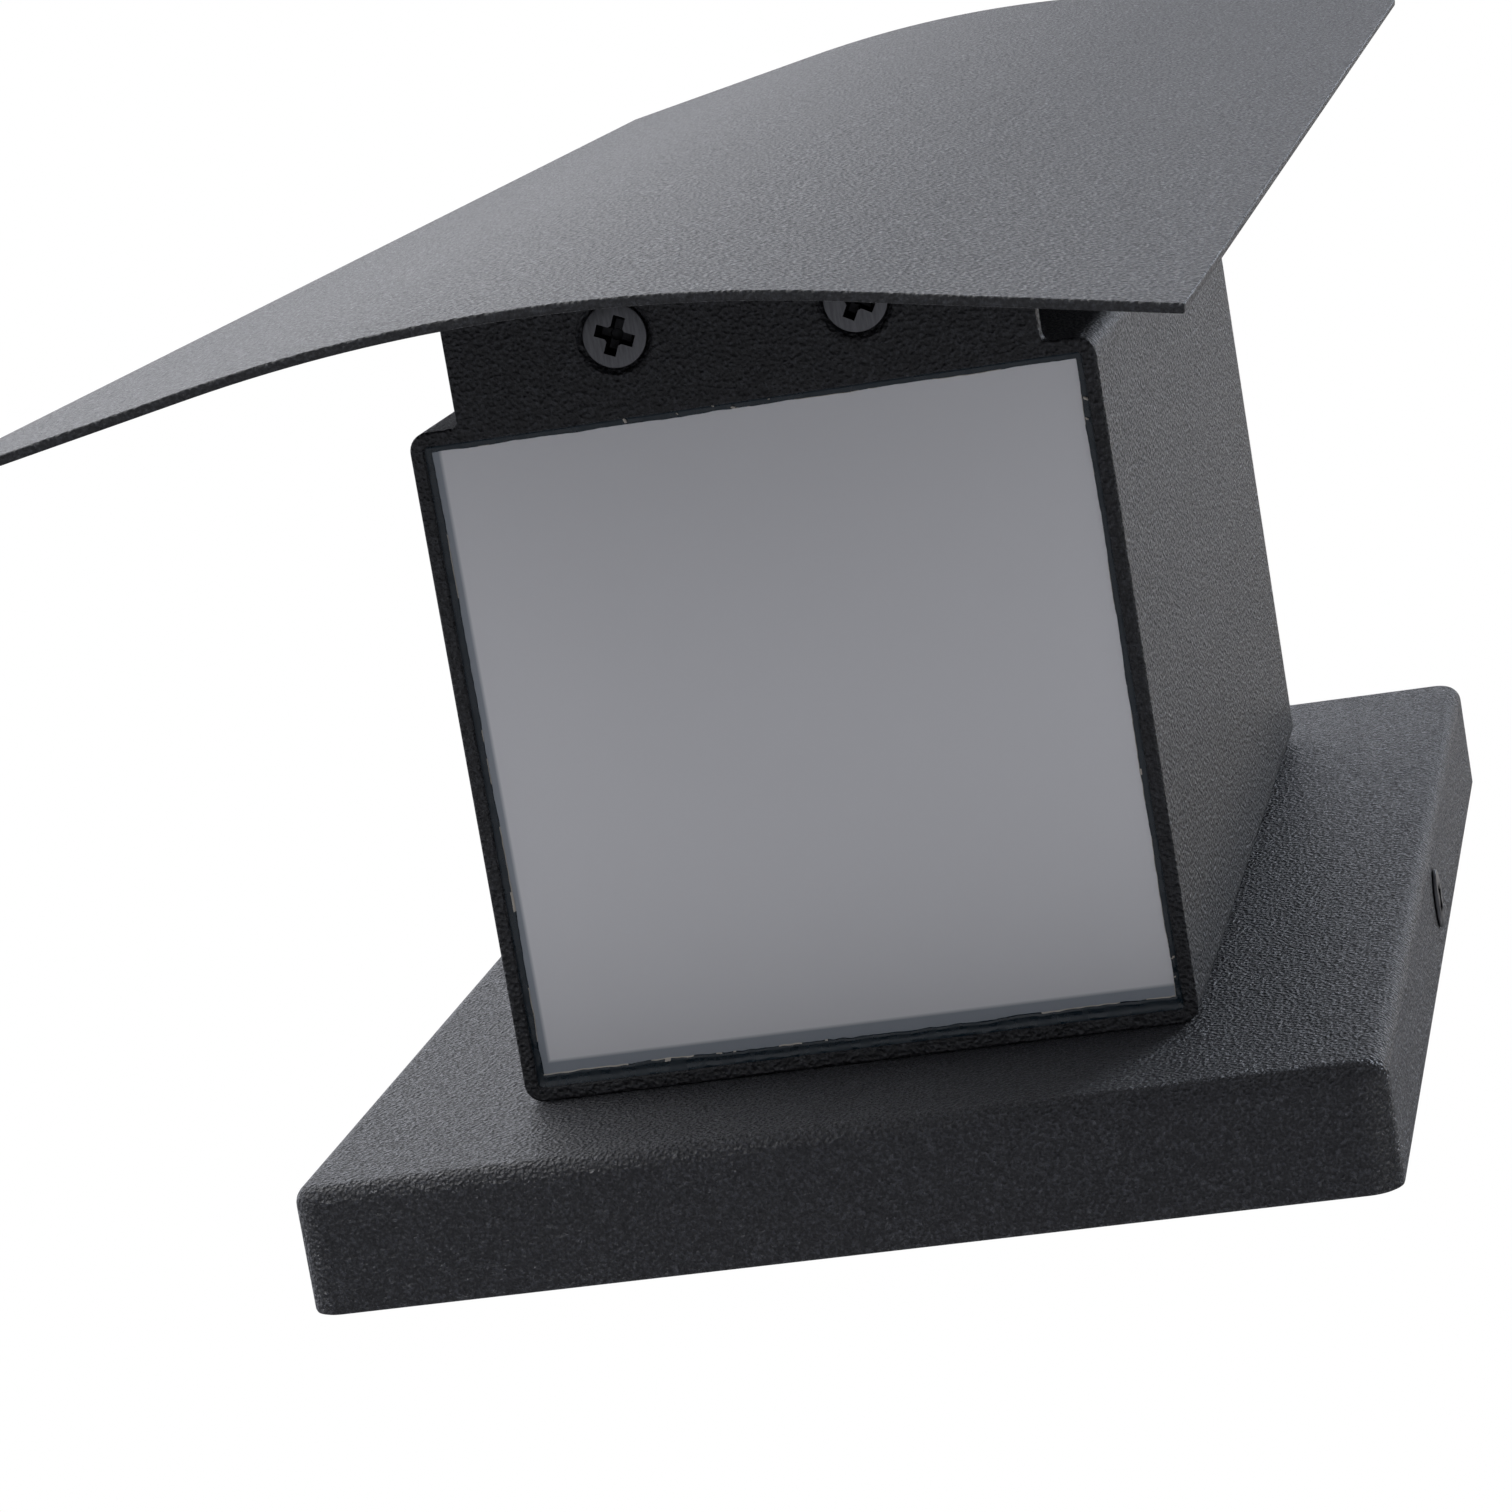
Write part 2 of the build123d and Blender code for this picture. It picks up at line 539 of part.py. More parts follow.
def make_housing():
    """A square die-cast tube with a pocket and a lug at each end, and bosses inside."""
    outer = Pos(0, -HOUSING_MID) * RectangleRounded(HOUSING_SIZE, HOUSING_SIZE, HOUSING_EDGE)
    body = column(outer, -END, END)
    body += column(end_layer(), -END, -END + LUG_THICK)
    body += column(end_layer(), END - LUG_THICK, END)
    body -= column(square(INNER_HALF), -END, END)
    body -= column(square(POCKET_HALF), -END, -LEDGE)
    body -= column(square(POCKET_HALF), LEDGE, END)
    block_middle = (CORNER_BLOCK_INNER + INNER_HALF + OVERLAP) / 2
    block_side = INNER_HALF + OVERLAP - CORNER_BLOCK_INNER
    sink = countersink(LUG_HEAD_SUNK, 2 * LUG_THICK)
    for side in (-1, 1):
        block_ends = sorted((side * PLATE_INNER_Z, side * (PLATE_INNER_Z - CORNER_BLOCK_LENGTH)))
        for x, y in corners(1, 1):
            corner_block = Pos(x * block_middle, y * block_middle - HOUSING_MID)
            body += column(corner_block * Rectangle(block_side, block_side), *block_ends)
            hole = Pos(x * PLATE_SCREW, y * PLATE_SCREW - HOUSING_MID) * Circle(M3_SHANK + GAP)
            body -= column(hole, *block_ends)
        for x in (-LUG_SCREW_X, LUG_SCREW_X):
            body -= end_on(x, LUG_SCREW_DEPTH, side * END, side) * sink
    for x, z in corners(HOUSING_SCREW_X, HOUSING_SCREW_Z):
        boss_from = INSIDE_DEPTH - OVERLAP
        body += slab(Pos(x, z) * Circle(HOUSING_BOSS_RADIUS), boss_from, HOUSING_BOSS_DEPTH)
        body -= slab(Pos(x, z) * Circle(M4_SHANK + GAP), 0, HOUSING_BOSS_DEPTH)
    body -= slab(Pos(0, LEAD_HOLE_Z) * Circle(LEAD_HOLE_RADIUS), 0, INSIDE_DEPTH)
    return body - slab(gasket_ring(0.0), HOUSING_BACK, HOUSING_BACK + GASKET_DEPTH)


def gasket_ring(slack):
    """The gasket's line round the housing's back, drawn in X and Z."""
    reach_x, reach_z = GASKET_HALF_X - slack, GASKET_HALF_Z - slack
    width = GASKET_WIDTH - 2 * slack
    outer = Rectangle(2 * reach_x, 2 * reach_z)
    return outer - Rectangle(2 * (reach_x - width), 2 * (reach_z - width))


def make_housing_gasket():
    """A rubber cord in the groove of the housing's back, pressed on the cover."""
    return slab(gasket_ring(GAP), HOUSING_BACK, HOUSING_BACK + GASKET_DEPTH)


def make_housing_screws():
    """Four screws from inside the cover into the housing's bosses."""
    length = HOUSING_BOSS_DEPTH - COVER_FLOOR - HOUSING_SCREW_SHORT
    screw = pan_head_screw(M4_SHANK, M4_PAN_HEAD, M4_PAN_HEIGHT, length)
    places = corners(HOUSING_SCREW_X, HOUSING_SCREW_Z)
    return [facing_wall(x, COVER_FLOOR, z) * screw for x, z in places]


# ---- light source, made for the upper end and turned over for the lower one ------------------------
def plate_screw_places():
    """The middles of the screws that hold the plate down."""
    return [Pos(x, y - HOUSING_MID) for x, y in corners(PLATE_SCREW, PLATE_SCREW)]


def board_screw_places():
    """The middles of the board's two screws, at opposite corners."""
    return [Pos(side * BOARD_SCREW, -side * BOARD_SCREW - HOUSING_MID) for side in (-1, 1)]


def driver_screw_places():
    """The middles of the driver's ears."""
    reach = DRIVER_SIZE[1] / 2 + DRIVER_EAR_LENGTH / 2
    return [Pos(0, -HOUSING_MID + side * reach) for side in (-1, 1)]


def make_led_plate():
    """An aluminium plate on the corner blocks, which carries the board and takes its heat."""
    outline = square(PLATE_HALF) - Pos(WIRE_HOLE_X, -HOUSING_MID) * Circle(WIRE_HOLE_RADIUS)
    for place in plate_screw_places() + board_screw_places() + driver_screw_places():
        outline -= place * Circle(M3_SHANK + GAP)
    return column(outline, PLATE_INNER_Z, PLATE_OUTER_Z)


def make_led_plate_screws():
    """Four screws that hold the plate down on the corner blocks."""
    screw = pan_head_screw(M3_SHANK, M3_HEAD, M3_HEAD_HEIGHT, PLATE_SCREW_LENGTH)
    return [place * Pos(0, 0, PLATE_OUTER_Z) * screw for place in plate_screw_places()]


def make_led_board():
    """The circuit board that the light sources are soldered to."""
    outline = square(BOARD_HALF)
    for place in board_screw_places():
        outline -= place * Circle(M3_SHANK + GAP)
    return column(outline, PLATE_OUTER_Z, BOARD_Z)


def make_led_board_screws():
    """Two screws through the board into the plate."""
    screw = pan_head_screw(M3_SHANK, M3_HEAD, M3_HEAD_HEIGHT, BOARD_SCREW_LENGTH)
    return [place * Pos(0, 0, BOARD_Z) * screw for place in board_screw_places()]


def make_led_chips():
    """The light sources, in a square grid on the board."""
    first = -CHIP_PITCH * (CHIPS_PER_SIDE - 1) / 2
    steps = [first + CHIP_PITCH * i for i in range(CHIPS_PER_SIDE)]
    lift = BOARD_Z + CHIP_SIZE[2] / 2
    return [Pos(x, y - HOUSING_MID, lift) * Box(*CHIP_SIZE) for x in steps for y in steps]


def make_led_connector():
    """The socket at the board's edge, with a bore for the lead's end."""
    width, length, height = CONNECTOR_SIZE
    body = Pos(CONNECTOR_X, -HOUSING_MID, BOARD_Z + height / 2) * Box(width, length, height)
    bore = Pos(CONNECTOR_X + width / 2, -HOUSING_MID, BOARD_Z + height / 2) * Rot(0, 90, 0)
    return body - bore * Cylinder(LED_LEAD_RADIUS + GAP, width)


def make_mixing_frame():
    """A white square tube that spreads the light between the plate and the diffuser."""
    outline = tube_outline(MIXER_HALF, MIXER_HALF - MIXER_WALL, MIXER_CORNER)
    return column(outline, PLATE_OUTER_Z, LEDGE - MIXER_ROOM)


def make_diffuser():
    """The opal sheet in the housing's end pocket."""
    outline = Pos(0, -HOUSING_MID) * RectangleRounded(DIFFUSER_SIZE, DIFFUSER_SIZE, DIFFUSER_CORNER)
    sheet = column(outline, LEDGE, LEDGE + DIFFUSER_THICK)
    return chamfer(sheet.faces().sort_by(Axis.Z)[-1].edges(), DIFFUSER_CHAMFER)


def make_diffuser_seal():
    """A silicone bead in the gap round the sheet, lapping over its edge with a sloped face."""
    top = LEDGE + DIFFUSER_THICK
    bead = column(square(POCKET_HALF), LEDGE, top + BEAD_HEIGHT)
    mouth = Plane.XY.offset(top) * square(POCKET_HALF - BEAD_WIDTH)
    bead -= extrude(mouth, amount=BEAD_HEIGHT, taper=-BEAD_SLOPE)
    return bead - column(square(DIFFUSER_SIZE / 2), LEDGE, top)


def turned_over(shape):
    """The piece of the upper end, mirrored about the housing's middle for the lower end."""
    pieces = shape if isinstance(shape, list) else [shape]
    return [mirror(piece, about=Plane.XY) for piece in pieces]


# ---- driver ------------------------------------------------------------------------------------
def make_led_driver():
    """A potted driver under the upper plate, with an ear at each side."""
    width, length, height = DRIVER_SIZE
    body = Pos(0, -HOUSING_MID, PLATE_INNER_Z - height / 2) * Box(width, length, height)
    body = fillet(body.edges().filter_by(Axis.Z), DRIVER_EDGE)
    for place in driver_screw_places():
        ear = place * (Rectangle(DRIVER_EAR_WIDTH, DRIVER_EAR_LENGTH) - Circle(M3_SHANK + GAP))
        body += column(ear, PLATE_INNER_Z - DRIVER_EAR_THICK, PLATE_INNER_Z)
    return body


def make_driver_screws():
    """Two screws through the driver's ears into the upper plate."""
    screw = pan_head_screw(M3_SHANK, M3_HEAD, M3_HEAD_HEIGHT, DRIVER_EAR_THICK + PLATE_THICK)
    bottom = PLATE_INNER_Z - DRIVER_EAR_THICK
    upside_down = Pos(0, 0, bottom) * Rot(180, 0, 0)
    return [place * upside_down * screw for place in driver_screw_places()]


def make_upper_led_lead():
    """The short two-core lead from the driver's side, through the upper plate, to its board."""
    start = DRIVER_SIZE[0] / 2
    start_z = PLATE_INNER_Z - LED_LEAD_DROP
    lead_z = BOARD_Z + CONNECTOR_SIZE[2] / 2
    points = [
        (start, HOUSING_MID, start_z),
        (WIRE_HOLE_X, HOUSING_MID, start_z),
        (WIRE_HOLE_X, HOUSING_MID, lead_z),
        (CONNECTOR_X + LED_LEAD_INSIDE, HOUSING_MID, lead_z),
    ]
    return wire(points, widest_arc(points), LED_LEAD_RADIUS)


def make_lower_led_lead():
    """The long two-core lead from the driver's foot down to the lower board."""
    lead_z = -BOARD_Z - CONNECTOR_SIZE[2] / 2
    first_bend, second_bend = LOWER_LEAD_BENDS
    points = [
        (LOWER_LEAD_X, HOUSING_MID, PLATE_INNER_Z - DRIVER_SIZE[2]),
        (LOWER_LEAD_X, HOUSING_MID, first_bend),
        (WIRE_HOLE_X, HOUSING_MID, second_bend),
        (WIRE_HOLE_X, HOUSING_MID, lead_z),
        (CONNECTOR_X + LED_LEAD_INSIDE, HOUSING_MID, lead_z),
    ]
    return wire(points, widest_arc(points), LED_LEAD_RADIUS)


# ---- shade ----------------------------------------------------------------------------------------
def make_shade():
    """A bent sheet in front of the housing, longer than the cover."""
    return column(between_curves(SHADE_WIDTH / 2, 0, 1), -SHADE_LENGTH / 2, SHADE_LENGTH / 2)


def make_shade_bracket():
    """An angle behind the upper lug: one leg bolts to the lug, the other is welded to the shade."""
    back = END - LUG_THICK
    foot = between_curves(BRACE_HALF, 1, 1 + BRACE_THICK / SHADE_THICK)
    low_left, low_right = (-BRACE_HALF, -BRACE_START), (BRACE_HALF, -BRACE_START)
    sides = [
        Line(shade_point(-BRACE_HALF, 1), low_left),
        Line(low_left, low_right),
        Line(low_right, shade_point(BRACE_HALF, 1)),
    ]
    leg = make_face(Wire(shade_curve(BRACE_HALF, 1) + sides))
    angle = column(leg, back - BRACE_THICK, back) + column(foot, back - BRACE_FOOT, back)
    for x in (-LUG_SCREW_X, LUG_SCREW_X):
        hole = Pos(x, -LUG_SCREW_DEPTH) * Circle(NUT_COLLAR_RADIUS + GAP)
        angle -= column(hole, back - BRACE_THICK, back)
    return angle


def make_shade_nuts():
    """Clinch nuts in the leg of the upper bracket."""
    back = END - LUG_THICK
    nuts = []
    for x in (-LUG_SCREW_X, LUG_SCREW_X):
        place = Pos(x, -LUG_SCREW_DEPTH)
        nut = column(place * Circle(NUT_COLLAR_RADIUS), back - BRACE_THICK, back)
        nut += column(place * Circle(NUT_RADIUS), back - BRACE_THICK - NUT_HEIGHT, back - BRACE_THICK)
        nuts.append(nut - column(place * Circle(M4_SHANK + GAP), back - BRACE_THICK - NUT_HEIGHT, back))
    return nuts


def make_shade_screws():
    """The countersunk screws at the upper lug."""
    return [
        end_on(x, LUG_SCREW_DEPTH, END - LUG_HEAD_SUNK, 1) * flat_head_screw(LUG_SCREW_LENGTH, turn)
        for x, turn in zip((-LUG_SCREW_X, LUG_SCREW_X), LUG_SCREW_TURNS)
    ]


# ---- the assembly -------------------------------------------------------------------------------------
def assembly():
    """Every node's name with its solid, or its group of like solids."""
    nodes = {
        "wall_bracket": make_wall_bracket(),
        "bracket_nuts": make_bracket_nuts(),
        "supply_grommet": make_supply_grommet(),
        "rim_seal": make_rim_seal(),
        "mounting_cover": make_mounting_cover(),
        "cover_screws": make_cover_screws(),
        "terminal_block": make_terminal_block(),
        "terminal_clamps": make_terminal_clamps(),
        "terminal_screws": make_terminal_screws(),
        "earth_ring": make_earth_ring(),
        "earth_screw": make_earth_screw(),
        "lead_grommet": make_lead_grommet(),
        "lead_live": make_supply_lead(-1, -1),
        "lead_neutral": make_supply_lead(0, 1),
        "lead_earth": make_earth_lead(),
        "housing": make_housing(),
        "housing_gasket": make_housing_gasket(),
        "housing_screws": make_housing_screws(),
        "led_driver": make_led_driver(),
        "driver_screws": make_driver_screws(),
        "led_lead_upper": make_upper_led_lead(),
        "led_lead_lower": make_lower_led_lead(),
        "shade": make_shade(),
    }
    at_both_ends = {
        "led_plate": make_led_plate(),
        "led_plate_screws": make_led_plate_screws(),
        "led_board": make_led_board(),
        "led_board_screws": make_led_board_screws(),
        "led_chips": make_led_chips(),
        "led_connector": make_led_connector(),
        "mixing_frame": make_mixing_frame(),
        "diffuser": make_diffuser(),
        "diffuser_seal": make_diffuser_seal(),
        "shade_bracket": make_shade_bracket(),
        "shade_nuts": make_shade_nuts(),
        "shade_screws": make_shade_screws(),
    }
    for name, shape in at_both_ends.items():
        nodes[name + "_upper"] = shape
        nodes[name + "_lower"] = turned_over(shape)
    return nodes


def solids_of(shape):
    """The separate solids in a shape or a list of shapes."""
    pieces = shape if isinstance(shape, (list, tuple)) else [shape]
    return [solid for piece in pieces for solid in piece.solids()]


os.makedirs("parts", exist_ok=True)
for node, shape in assembly().items():
    found = solids_of(shape)
    made = found[0] if len(found) == 1 else Compound(found)
    export_step(made, f"parts/{node}.step")
    print(node, len(found), round(sum(solid.volume for solid in found), 1))
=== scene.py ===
"""Looks of the outdoor up and down wall light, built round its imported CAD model.

New pieces are modelled with bmesh in millimetres, in the CAD's own frame, and turned to metres
when they are delivered, so every piece lies where the CAD says. Inner pieces are softened copies
of their CAD nodes, or the nodes themselves with a finish of their own.
"""

import json
import logging
import math
from collections.abc import Callable, Iterable, Sequence
from dataclasses import dataclass
from enum import Enum
from typing import Any

import bmesh
import bpy
from mathutils import Matrix, Vector, noise


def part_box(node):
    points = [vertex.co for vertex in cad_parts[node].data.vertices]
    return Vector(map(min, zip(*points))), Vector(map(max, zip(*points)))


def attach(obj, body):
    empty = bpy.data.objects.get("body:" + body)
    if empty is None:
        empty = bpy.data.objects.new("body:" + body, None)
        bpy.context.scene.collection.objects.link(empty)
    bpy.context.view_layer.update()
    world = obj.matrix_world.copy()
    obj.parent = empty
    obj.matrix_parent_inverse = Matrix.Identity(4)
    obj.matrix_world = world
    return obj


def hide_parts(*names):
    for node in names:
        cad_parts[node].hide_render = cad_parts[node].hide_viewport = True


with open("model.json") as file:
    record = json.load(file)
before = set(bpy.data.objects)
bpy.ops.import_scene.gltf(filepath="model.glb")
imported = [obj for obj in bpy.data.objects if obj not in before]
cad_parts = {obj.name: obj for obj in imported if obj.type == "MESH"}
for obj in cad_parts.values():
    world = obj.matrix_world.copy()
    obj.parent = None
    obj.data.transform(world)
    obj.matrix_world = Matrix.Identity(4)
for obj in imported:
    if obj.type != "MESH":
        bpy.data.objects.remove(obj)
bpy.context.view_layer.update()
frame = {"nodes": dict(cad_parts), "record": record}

LOG = logging.getLogger("wall_light")
MM = 0.001
BODY = "root"
MERGE = 1e-4  # millimetres under which two points of a mesh are one
WELD = 1e-3  # millimetres, the same where cuts or bevels meet at very small angles
STRAIGHT = 0.999  # the share of an edge that lies along an axis, over which it runs along it
Mesh = bmesh.types.BMesh
Tree = bpy.types.NodeTree
Socket = bpy.types.NodeSocket
Settings = dict[str | int, Any]
Links = dict[str | int, Socket]
Span = tuple[float, float]


class Join(Enum):
    """How one closed shape meets another."""

    UNION = "UNION"
    CUT = "DIFFERENCE"


class End(Enum):
    """The two ends of the housing."""

    LOWER = -1
    UPPER = 1

    @property
    def word(self) -> str:
        """The end's name in its nodes."""
        return self.name.lower()


# ---- meshes, in millimetres ----------------------------------------------------------------------
@dataclass(frozen=True)
class Extent:
    """The room that a CAD node takes, in millimetres."""

    low: Vector
    high: Vector

    @classmethod
    def of(cls, node: str) -> "Extent":
        """Reads a CAD node's lowest and highest corner, in millimetres."""
        low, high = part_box(node)
        return cls(low / MM, high / MM)

    @property
    def middle(self) -> Vector:
        """The point half way between the corners."""
        return (self.low + self.high) / 2

    @property
    def size(self) -> Vector:
        """The three sides."""
        return self.high - self.low


def block(low: Vector, high: Vector) -> Mesh:
    """Makes a plain block.

    Args:
        low: Its lowest corner.
        high: Its highest corner.

    Returns:
        A closed mesh of six faces.
    """
    made = bmesh.new()
    bmesh.ops.create_cube(made, size=1.0)
    bmesh.ops.scale(made, vec=high - low, verts=made.verts)
    bmesh.ops.translate(made, vec=(low + high) / 2, verts=made.verts)
    return made


def turned(profile: Sequence[tuple[float, float]], steps: int) -> Mesh:
    """Spins a profile round the Z axis, as a lathe turns a shape.

    Args:
        profile: Points as (radius, height), both ends on the axis.
        steps: Flats round the full turn.

    Returns:
        A closed mesh.
    """
    made = bmesh.new()
    points = [made.verts.new((radius, 0.0, height)) for radius, height in profile]
    lines = [made.edges.new(pair) for pair in zip(points, points[1:])]
    bmesh.ops.spin(
        made,
        geom=points + lines,
        cent=(0, 0, 0),
        axis=(0, 0, 1),
        angle=math.tau,
        steps=steps,
        use_merge=True,
        use_duplicate=False,
    )
    bmesh.ops.remove_doubles(made, verts=made.verts, dist=MERGE)
    bmesh.ops.recalc_face_normals(made, faces=made.faces)
    return made


def moved(shape: Mesh, place: Matrix) -> Mesh:
    """Moves a shape and hands it back, with its faces turned outwards again.

    Args:
        shape: The mesh to move.
        place: Where it goes.

    Returns:
        The same mesh.
    """
    bmesh.ops.transform(shape, matrix=place, verts=shape.verts)
    bmesh.ops.recalc_face_normals(shape, faces=shape.faces)
    return shape


def rounded(shape: Mesh, edges: Iterable[bmesh.types.BMEdge], radius: float, steps: int) -> Mesh:
    """Rounds some edges of a shape.

    Args:
        shape: The mesh that holds the edges.
        edges: The edges to round.
        radius: The radius of the rounding.
        steps: Flats across the rounding.

    Returns:
        The same mesh.
    """
    bmesh.ops.bevel(
        shape,
        geom=list(edges),
        offset=radius,
        offset_type="OFFSET",
        segments=steps,
        profile=0.5,
        affect="EDGES",
        clamp_overlap=True,
        material=-1,
    )
    return shape


def edges_along(shape: Mesh, axis: int) -> list[bmesh.types.BMEdge]:
    """The edges that run along one axis, given as 0, 1 or 2."""
    ways = [(e, (e.verts[0].co - e.verts[1].co).normalized()) for e in shape.edges]
    return [e for e, way in ways if abs(way[axis]) > STRAIGHT]


def edges_in_plane(shape: Mesh, axis: int, level: float) -> list[bmesh.types.BMEdge]:
    """The edges whose two ends lie at one level of an axis."""
    return [e for e in shape.edges if all(abs(v.co[axis] - level) < MERGE for v in e.verts)]


def combine(body: Mesh, tool: Mesh, how: Join) -> Mesh:
    """Joins or cuts two closed shapes with the exact Boolean solver.

    Args:
        body: The shape that is kept.
        tool: The shape that is added or taken away.
        how: Whether it is added or taken away.

    Returns:
        A new mesh; both shapes are used up.
    """
    pair = []
    for shape in (body, tool):
        data = bpy.data.meshes.new("boolean")
        shape.to_mesh(data)
        shape.free()
        thing = bpy.data.objects.new("boolean", data)
        bpy.context.scene.collection.objects.link(thing)
        pair.append(thing)
    boolean = pair[0].modifiers.new("boolean", "BOOLEAN")
    boolean.operation = how.value
    boolean.solver = "EXACT"
    boolean.object = pair[1]
    bpy.context.view_layer.update()
    evaluated = pair[0].evaluated_get(bpy.context.evaluated_depsgraph_get())
    result = bpy.data.meshes.new_from_object(evaluated)
    made = bmesh.new()
    made.from_mesh(result)
    for data in [result] + [thing.data for thing in pair]:
        bpy.data.meshes.remove(data)
    bmesh.ops.remove_doubles(made, verts=made.verts, dist=MERGE)
    bmesh.ops.dissolve_degenerate(made, edges=made.edges, dist=MERGE)
    return made


def shade_by_angle(data: bpy.types.Mesh, angle: float) -> None:
    """Smooths a mesh and keeps the edges sharper than an angle crisp.

    Args:
        data: The mesh.
        angle: The angle in degrees.
    """
    work = bmesh.new()
    work.from_mesh(data)
    for face in work.faces:
        face.smooth = True
    for edge in work.edges:
        edge.smooth = len(edge.link_faces) == 2 and edge.calc_face_angle(0.0) < math.radians(angle)
    work.to_mesh(data)
    work.free()


def deliver(
    name: str,
    shape: Mesh,
    finish: bpy.types.Material,
    nodes: Sequence[str],
    sharp_over: float = 40.0,
) -> bpy.types.Object:
    """Turns a finished shape into a piece that stands for CAD nodes.

    Args:
        name: The piece's name.
        shape: Its mesh in millimetres, used up here.
        finish: Its material.
        nodes: The CAD nodes that it stands for.
        sharp_over: Edges sharper than this many degrees stay crisp.

    Returns:
        The piece, at the origin, in metres.
    """
    bmesh.ops.transform(shape, matrix=Matrix.Scale(MM, 4), verts=shape.verts)
    data = bpy.data.meshes.new(name)
    shape.to_mesh(data)
    shape.free()
    shade_by_angle(data, sharp_over)
    data.materials.append(finish)
    piece = bpy.data.objects.new(name, data)
    bpy.context.scene.collection.objects.link(piece)
    weights = piece.modifiers.new("even_light", "WEIGHTED_NORMAL")
    weights.keep_sharp = True
    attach(piece, BODY)
    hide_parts(*nodes)
    LOG.info("%s: %d faces, stands for %s", name, len(data.polygons), ", ".join(nodes))
    return piece


# ---- materials -----------------------------------------------------------------------------------
def linear(colour: str) -> tuple[float, float, float, float]:
    """Turns an sRGB hex colour to linear.

    Args:
        colour: Six hex digits after a hash sign.

    Returns:
        Red, green, blue and an alpha of one.
    """
    parts = [int(colour[i : i + 2], 16) / 255 for i in (1, 3, 5)]
    red, green, blue = (c / 12.92 if c <= 0.04045 else ((c + 0.055) / 1.055) ** 2.4 for c in parts)
    return (red, green, blue, 1.0)


def add_node(
    tree: Tree, kind: str, settings: Settings | None = None, links: Links | None = None
) -> bpy.types.Node:
    """Adds one node to a tree.

    Args:
        tree: The tree that the node goes in.
        kind: The node's type name.
        settings: Properties of the node, and values of its unlinked inputs by name or number.
        links: The sockets that its other inputs read, by name or number.

    Returns:
        The new node.
    """
    node = tree.nodes.new(kind)
    for name, value in (settings or {}).items():
        if isinstance(name, str) and hasattr(node, name):
            setattr(node, name, value)
        else:
            node.inputs[name].default_value = value
    for name, source in (links or {}).items():
        tree.links.new(source, node.inputs[name])
    return node


def per_metre(spacing_mm: float) -> float:
    """The pattern scale that repeats about every so many millimetres."""
    return 1 / (spacing_mm * MM)


def spread(into: Span, out: Span = (0.0, 1.0)) -> Settings:
    """The settings that stretch one range of values over another, with its ends held."""
    return {"From Min": into[0], "From Max": into[1], "To Min": out[0], "To Max": out[1]}


def two_tones(first: str, second: str) -> Settings:
    """The settings that mix two hex colours, the first at 0 and the second at 1."""
    return {"data_type": "RGBA", 6: linear(first), 7: linear(second)}


@dataclass(frozen=True)
class Finish:
    """What every finish has: a name, and constants for the surface shader."""

    name: str
    colour: str
    roughness: float = 0.5
    metallic: float = 0.0
    ior: float = 1.5

    def material(self) -> bpy.types.Material:
        """Builds the material, or finds it if it was built before.

        Returns:
            The material.
        """
        if self.name in bpy.data.materials:
            return bpy.data.materials[self.name]
        made = bpy.data.materials.new(self.name)
        made.use_nodes = True
        tree = made.node_tree
        tree.nodes.clear()
        place = add_node(tree, "ShaderNodeTexCoord").outputs["Object"]
        patterns = self.dress(tree, place)
        surface = add_node(tree, "ShaderNodeBsdfPrincipled", self.constants(), patterns)
        add_node(tree, "ShaderNodeOutputMaterial", links={"Surface": surface.outputs["BSDF"]})
        made.diffuse_color = linear(self.colour)
        return made

    def constants(self) -> Settings:
        """The shader's own values, the same all over the surface."""
        values = {"Base Color": linear(self.colour), "Roughness": self.roughness}
        return {**values, "Metallic": 1.0} if self.metallic else {**values, "IOR": self.ior}

    def gloss(self, into: Span, change: Span) -> Settings:
        """The settings that turn a pattern to roughness, by how far it goes each way."""
        return spread(into, (self.roughness + change[0], self.roughness + change[1]))

    def dress(self, tree: Tree, place: Socket) -> Links:
        """Adds the finish's own patterns, and says which of the shader's sockets read them."""
        raise NotImplementedError(self.name)


